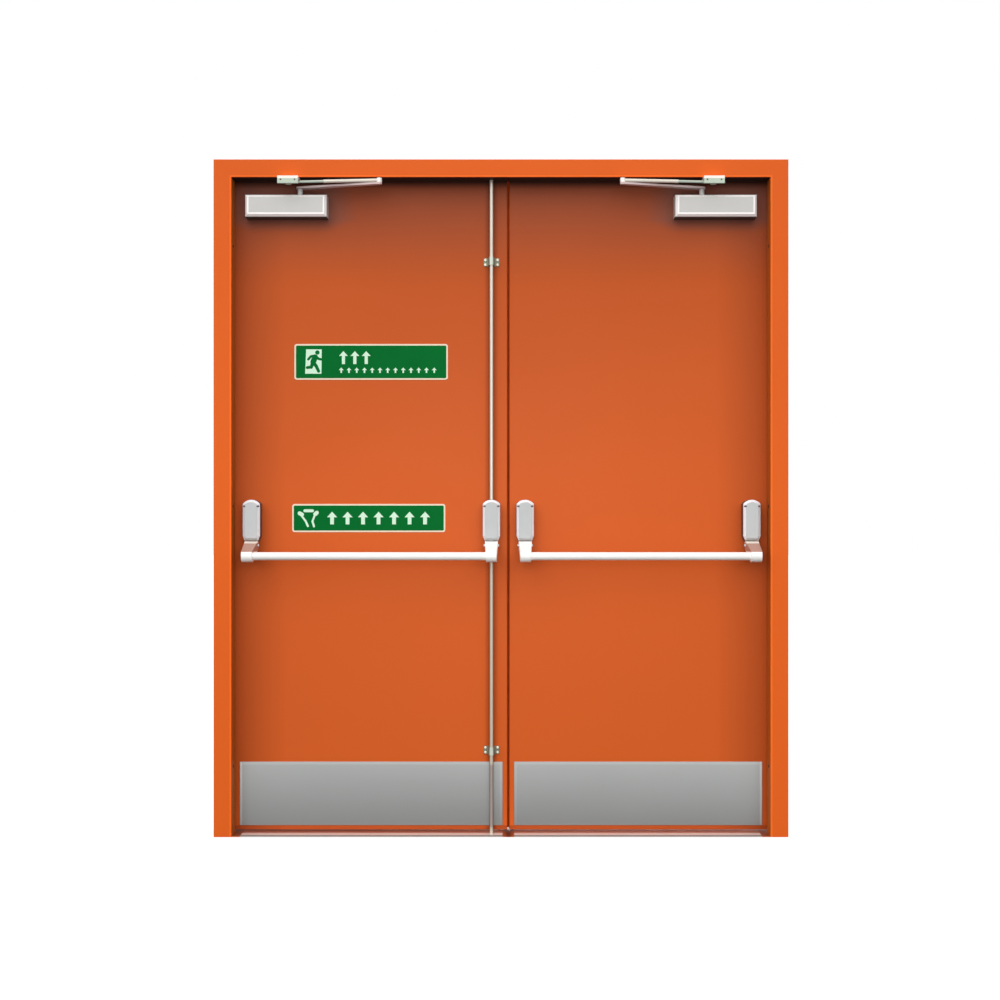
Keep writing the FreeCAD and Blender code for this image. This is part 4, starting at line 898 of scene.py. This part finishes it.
def guideScrews(node):
    # four screws on the plate, beside the boss
    low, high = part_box(node)
    middle = (low + high) / 2
    facing = (0, -1, 0)
    screws = []
    for across in (-screwSizes["guideAcross"], screwSizes["guideAcross"]):
        for up in (-screwSizes["guideUp"], screwSizes["guideUp"]):
            place = faceAt(node, (middle.x + across, low.y, middle.z + up), facing)
            screws.append((place, facing, screwSizes["guideRadius"]))
    return screws


def hingeScrews(node, pin, grid):
    # a grid of screws on each of the three wings, on the pull side
    low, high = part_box(node)
    side = 1 if low.x + high.x > 0 else -1
    edges = sorted((abs(low.x), abs(high.x)), key=lambda edge: abs(edge - pin))
    wing = edges[1] - pin
    start = pin + math.copysign(screwSizes["knuckle"], wing)
    half, facing = screwSizes["hingeHalf"], (0, 1, 0)
    columns, rows = grid
    screws = []
    for height in (low.z + half, (low.z + high.z) / 2, high.z - half):
        for column in columns:
            across = start + (edges[1] - start) * column
            for row in rows:
                place = faceAt(node, (side * across, high.y, height + row * half), facing)
                screws.append((place, facing, screwSizes["hingeRadius"]))
    return screws


def shoeScrews(node):
    low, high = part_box(node)
    middle = (low.x + high.x) / 2
    return [((middle + across * screwSizes["shoeAcross"], low.y, high.z - screwSizes["shoeBelow"]),
             (0, -1, 0), screwSizes["shoeRadius"]) for across in (-1, 1)]


def anchorScrews():
    # in the three holes of each reveal, facing the doorway
    screws = []
    for mount in frame["record"]["mounts"]:
        if mount["kind"] != "bolt_pattern":
            continue
        facing = Vector(mount["axis"])
        middle = Vector(mount["pos_m"]) - facing * screwSizes["anchorSunk"]
        reach = mount["dims"]["spacing_y_mm"] / 1000 / 2
        for step in (-1, 0, 1):
            screws.append((middle + Vector((0, 0, step * reach)), facing, screwSizes["anchorRadius"]))
    return screws


pins = {joint["name"]: abs(joint["pos_m"][0]) for joint in frame["joints"] if "pos_m" in joint}
screwPiece("leftLeafScrews", "left_leaf", screwFinish,
           guideScrews("upper_rod_guide") + guideScrews("lower_rod_guide"), screwSeeds["guides"])
for side in ("left", "right"):
    pin, seed = pins[side + "_leaf_swing"], screwSeeds[side]
    screwPiece(side + "HingeScrews", side + "_leaf", hingeScrewFinish,
               hingeScrews(side + "_leaf_hinges", pin, hingeGrids["leaf"]), seed)
    screwPiece(side + "FrameScrews", "frame", hingeScrewFinish,
               hingeScrews(side + "_frame_hinges", pin, hingeGrids["frame"]), seed + 1)
screwPiece("frameFixings", "frame", anchorFinish,
           shoeScrews("left_closer_shoe") + shoeScrews("right_closer_shoe") + anchorScrews(),
           screwSeeds["fixings"])
print("screws: done")


# Studio: pale floor, broad soft lights from in front and behind, and a low one by the camera
studio = {
    "world": 0.12, "high": 1.63, "left": 1.3, "right": 0.54, "height": 38.0, "turn": 55.0,
    "spread": 75.0, "back": 2.8, "backTurn": 160.0, "low": 10.0, "lowPlace": (0.0, -2.0, 1.2),
    "lowSize": (1.2, 0.8), "away": 4.0, "floorHalf": 20.0, "floorBelow": 0.0005,
    "floorShade": 0.06, "floorPale": 0.6, "floorGlow": 0.5, "floorLight": 1.62}
white = (1, 1, 1, 1)
cameraView = {"place": (-0.0031, -3.966, 1.0493), "lens": 45.25, "sensor": 36.0}


def lightPath(nodes):
    # 1 for the camera's own ray and for rays that carry a reflection or pass through, else 0
    seen = nodes.add("ShaderNodeLightPath", {}, {}, "Is Camera Ray")
    glossy = nodes.add("ShaderNodeLightPath", {}, {}, "Is Glossy Ray")
    through = nodes.add("ShaderNodeLightPath", {}, {}, "Is Transmission Ray")
    return nodes.range(seen + glossy + through, 0.0, 1.0, 0.0, 1.0)


def makeWorld():
    world = bpy.data.worlds.new("studioWorld")
    scene.world = world
    world.use_nodes = True
    nodes = Nodes(world.node_tree)
    strength = nodes.range(lightPath(nodes), 0.0, 1.0, studio["world"], 1.0)
    sky = nodes.add("ShaderNodeBackground", {}, {"Color": white, "Strength": strength})
    nodes.add("ShaderNodeOutputWorld", {}, {"Surface": sky})


def makeFloor():
    material, nodes = newFinish("studioFloor")
    plain = lightPath(nodes)
    colour = nodes.mix(plain, scaled(white, studio["floorShade"]), scaled(white, studio["floorPale"]))
    matt = nodes.add("ShaderNodeBsdfDiffuse", {}, {"Color": colour})
    glow = nodes.add("ShaderNodeEmission", {}, {"Color": white, "Strength": studio["floorLight"]})
    both = nodes.add("ShaderNodeMixShader", {}, {0: plain * studio["floorGlow"], 1: matt, 2: glow})
    nodes.add("ShaderNodeOutputMaterial", {}, {"Surface": both})
    mesh = bmesh.new()
    half = studio["floorHalf"]
    mesh.faces.new([mesh.verts.new((x * half, y * half, -studio["floorBelow"]))
                    for x, y in ((-1, -1), (1, -1), (1, 1), (-1, 1))])
    data = bpy.data.meshes.new("studioFloor")
    mesh.to_mesh(data)
    mesh.free()
    data.materials.append(material)
    floor = bpy.data.objects.new("studioFloor", data)
    scene.collection.objects.link(floor)


def hangLamp(name, light, place, target):
    lamp = bpy.data.objects.new(name, light)
    lamp.location = place
    lamp.rotation_euler = (Vector(target) - Vector(place)).to_track_quat("-Z", "Y").to_euler()
    scene.collection.objects.link(lamp)


def makeHighLight(name, turn, energy):
    light = bpy.data.lights.new(name, "SUN")
    light.energy = energy
    light.angle = math.radians(studio["spread"])
    height, turn = math.radians(studio["height"]), math.radians(turn)
    level = math.cos(height)
    place = Vector((math.sin(turn) * level, -math.cos(turn) * level, math.sin(height)))
    hangLamp(name, light, place * studio["away"], (0, 0, 0))


def makeLowLight():
    light = bpy.data.lights.new("lowLight", "AREA")
    light.shape = "RECTANGLE"
    light.size, light.size_y = studio["lowSize"]
    light.energy = studio["low"]
    across, back, height = studio["lowPlace"]
    hangLamp("lowLight", light, (across, back, height), (across, 0, height))


def makeCamera():
    view = bpy.data.cameras.new("photoCamera")
    view.lens = cameraView["lens"]
    view.sensor_width = cameraView["sensor"]
    camera = bpy.data.objects.new("photoCamera", view)
    camera.location = cameraView["place"]
    camera.rotation_euler = (math.pi / 2, 0, 0)
    scene.collection.objects.link(camera)
    scene.camera = camera


makeWorld()
makeFloor()
makeHighLight("highLight", 0.0, studio["high"])
makeHighLight("leftLight", -studio["turn"], studio["left"])
makeHighLight("rightLight", studio["turn"], studio["right"])
makeHighLight("backLight", studio["backTurn"], studio["back"])
makeLowLight()
makeCamera()
scene.view_settings.view_transform = "Standard"
print("studio: done")
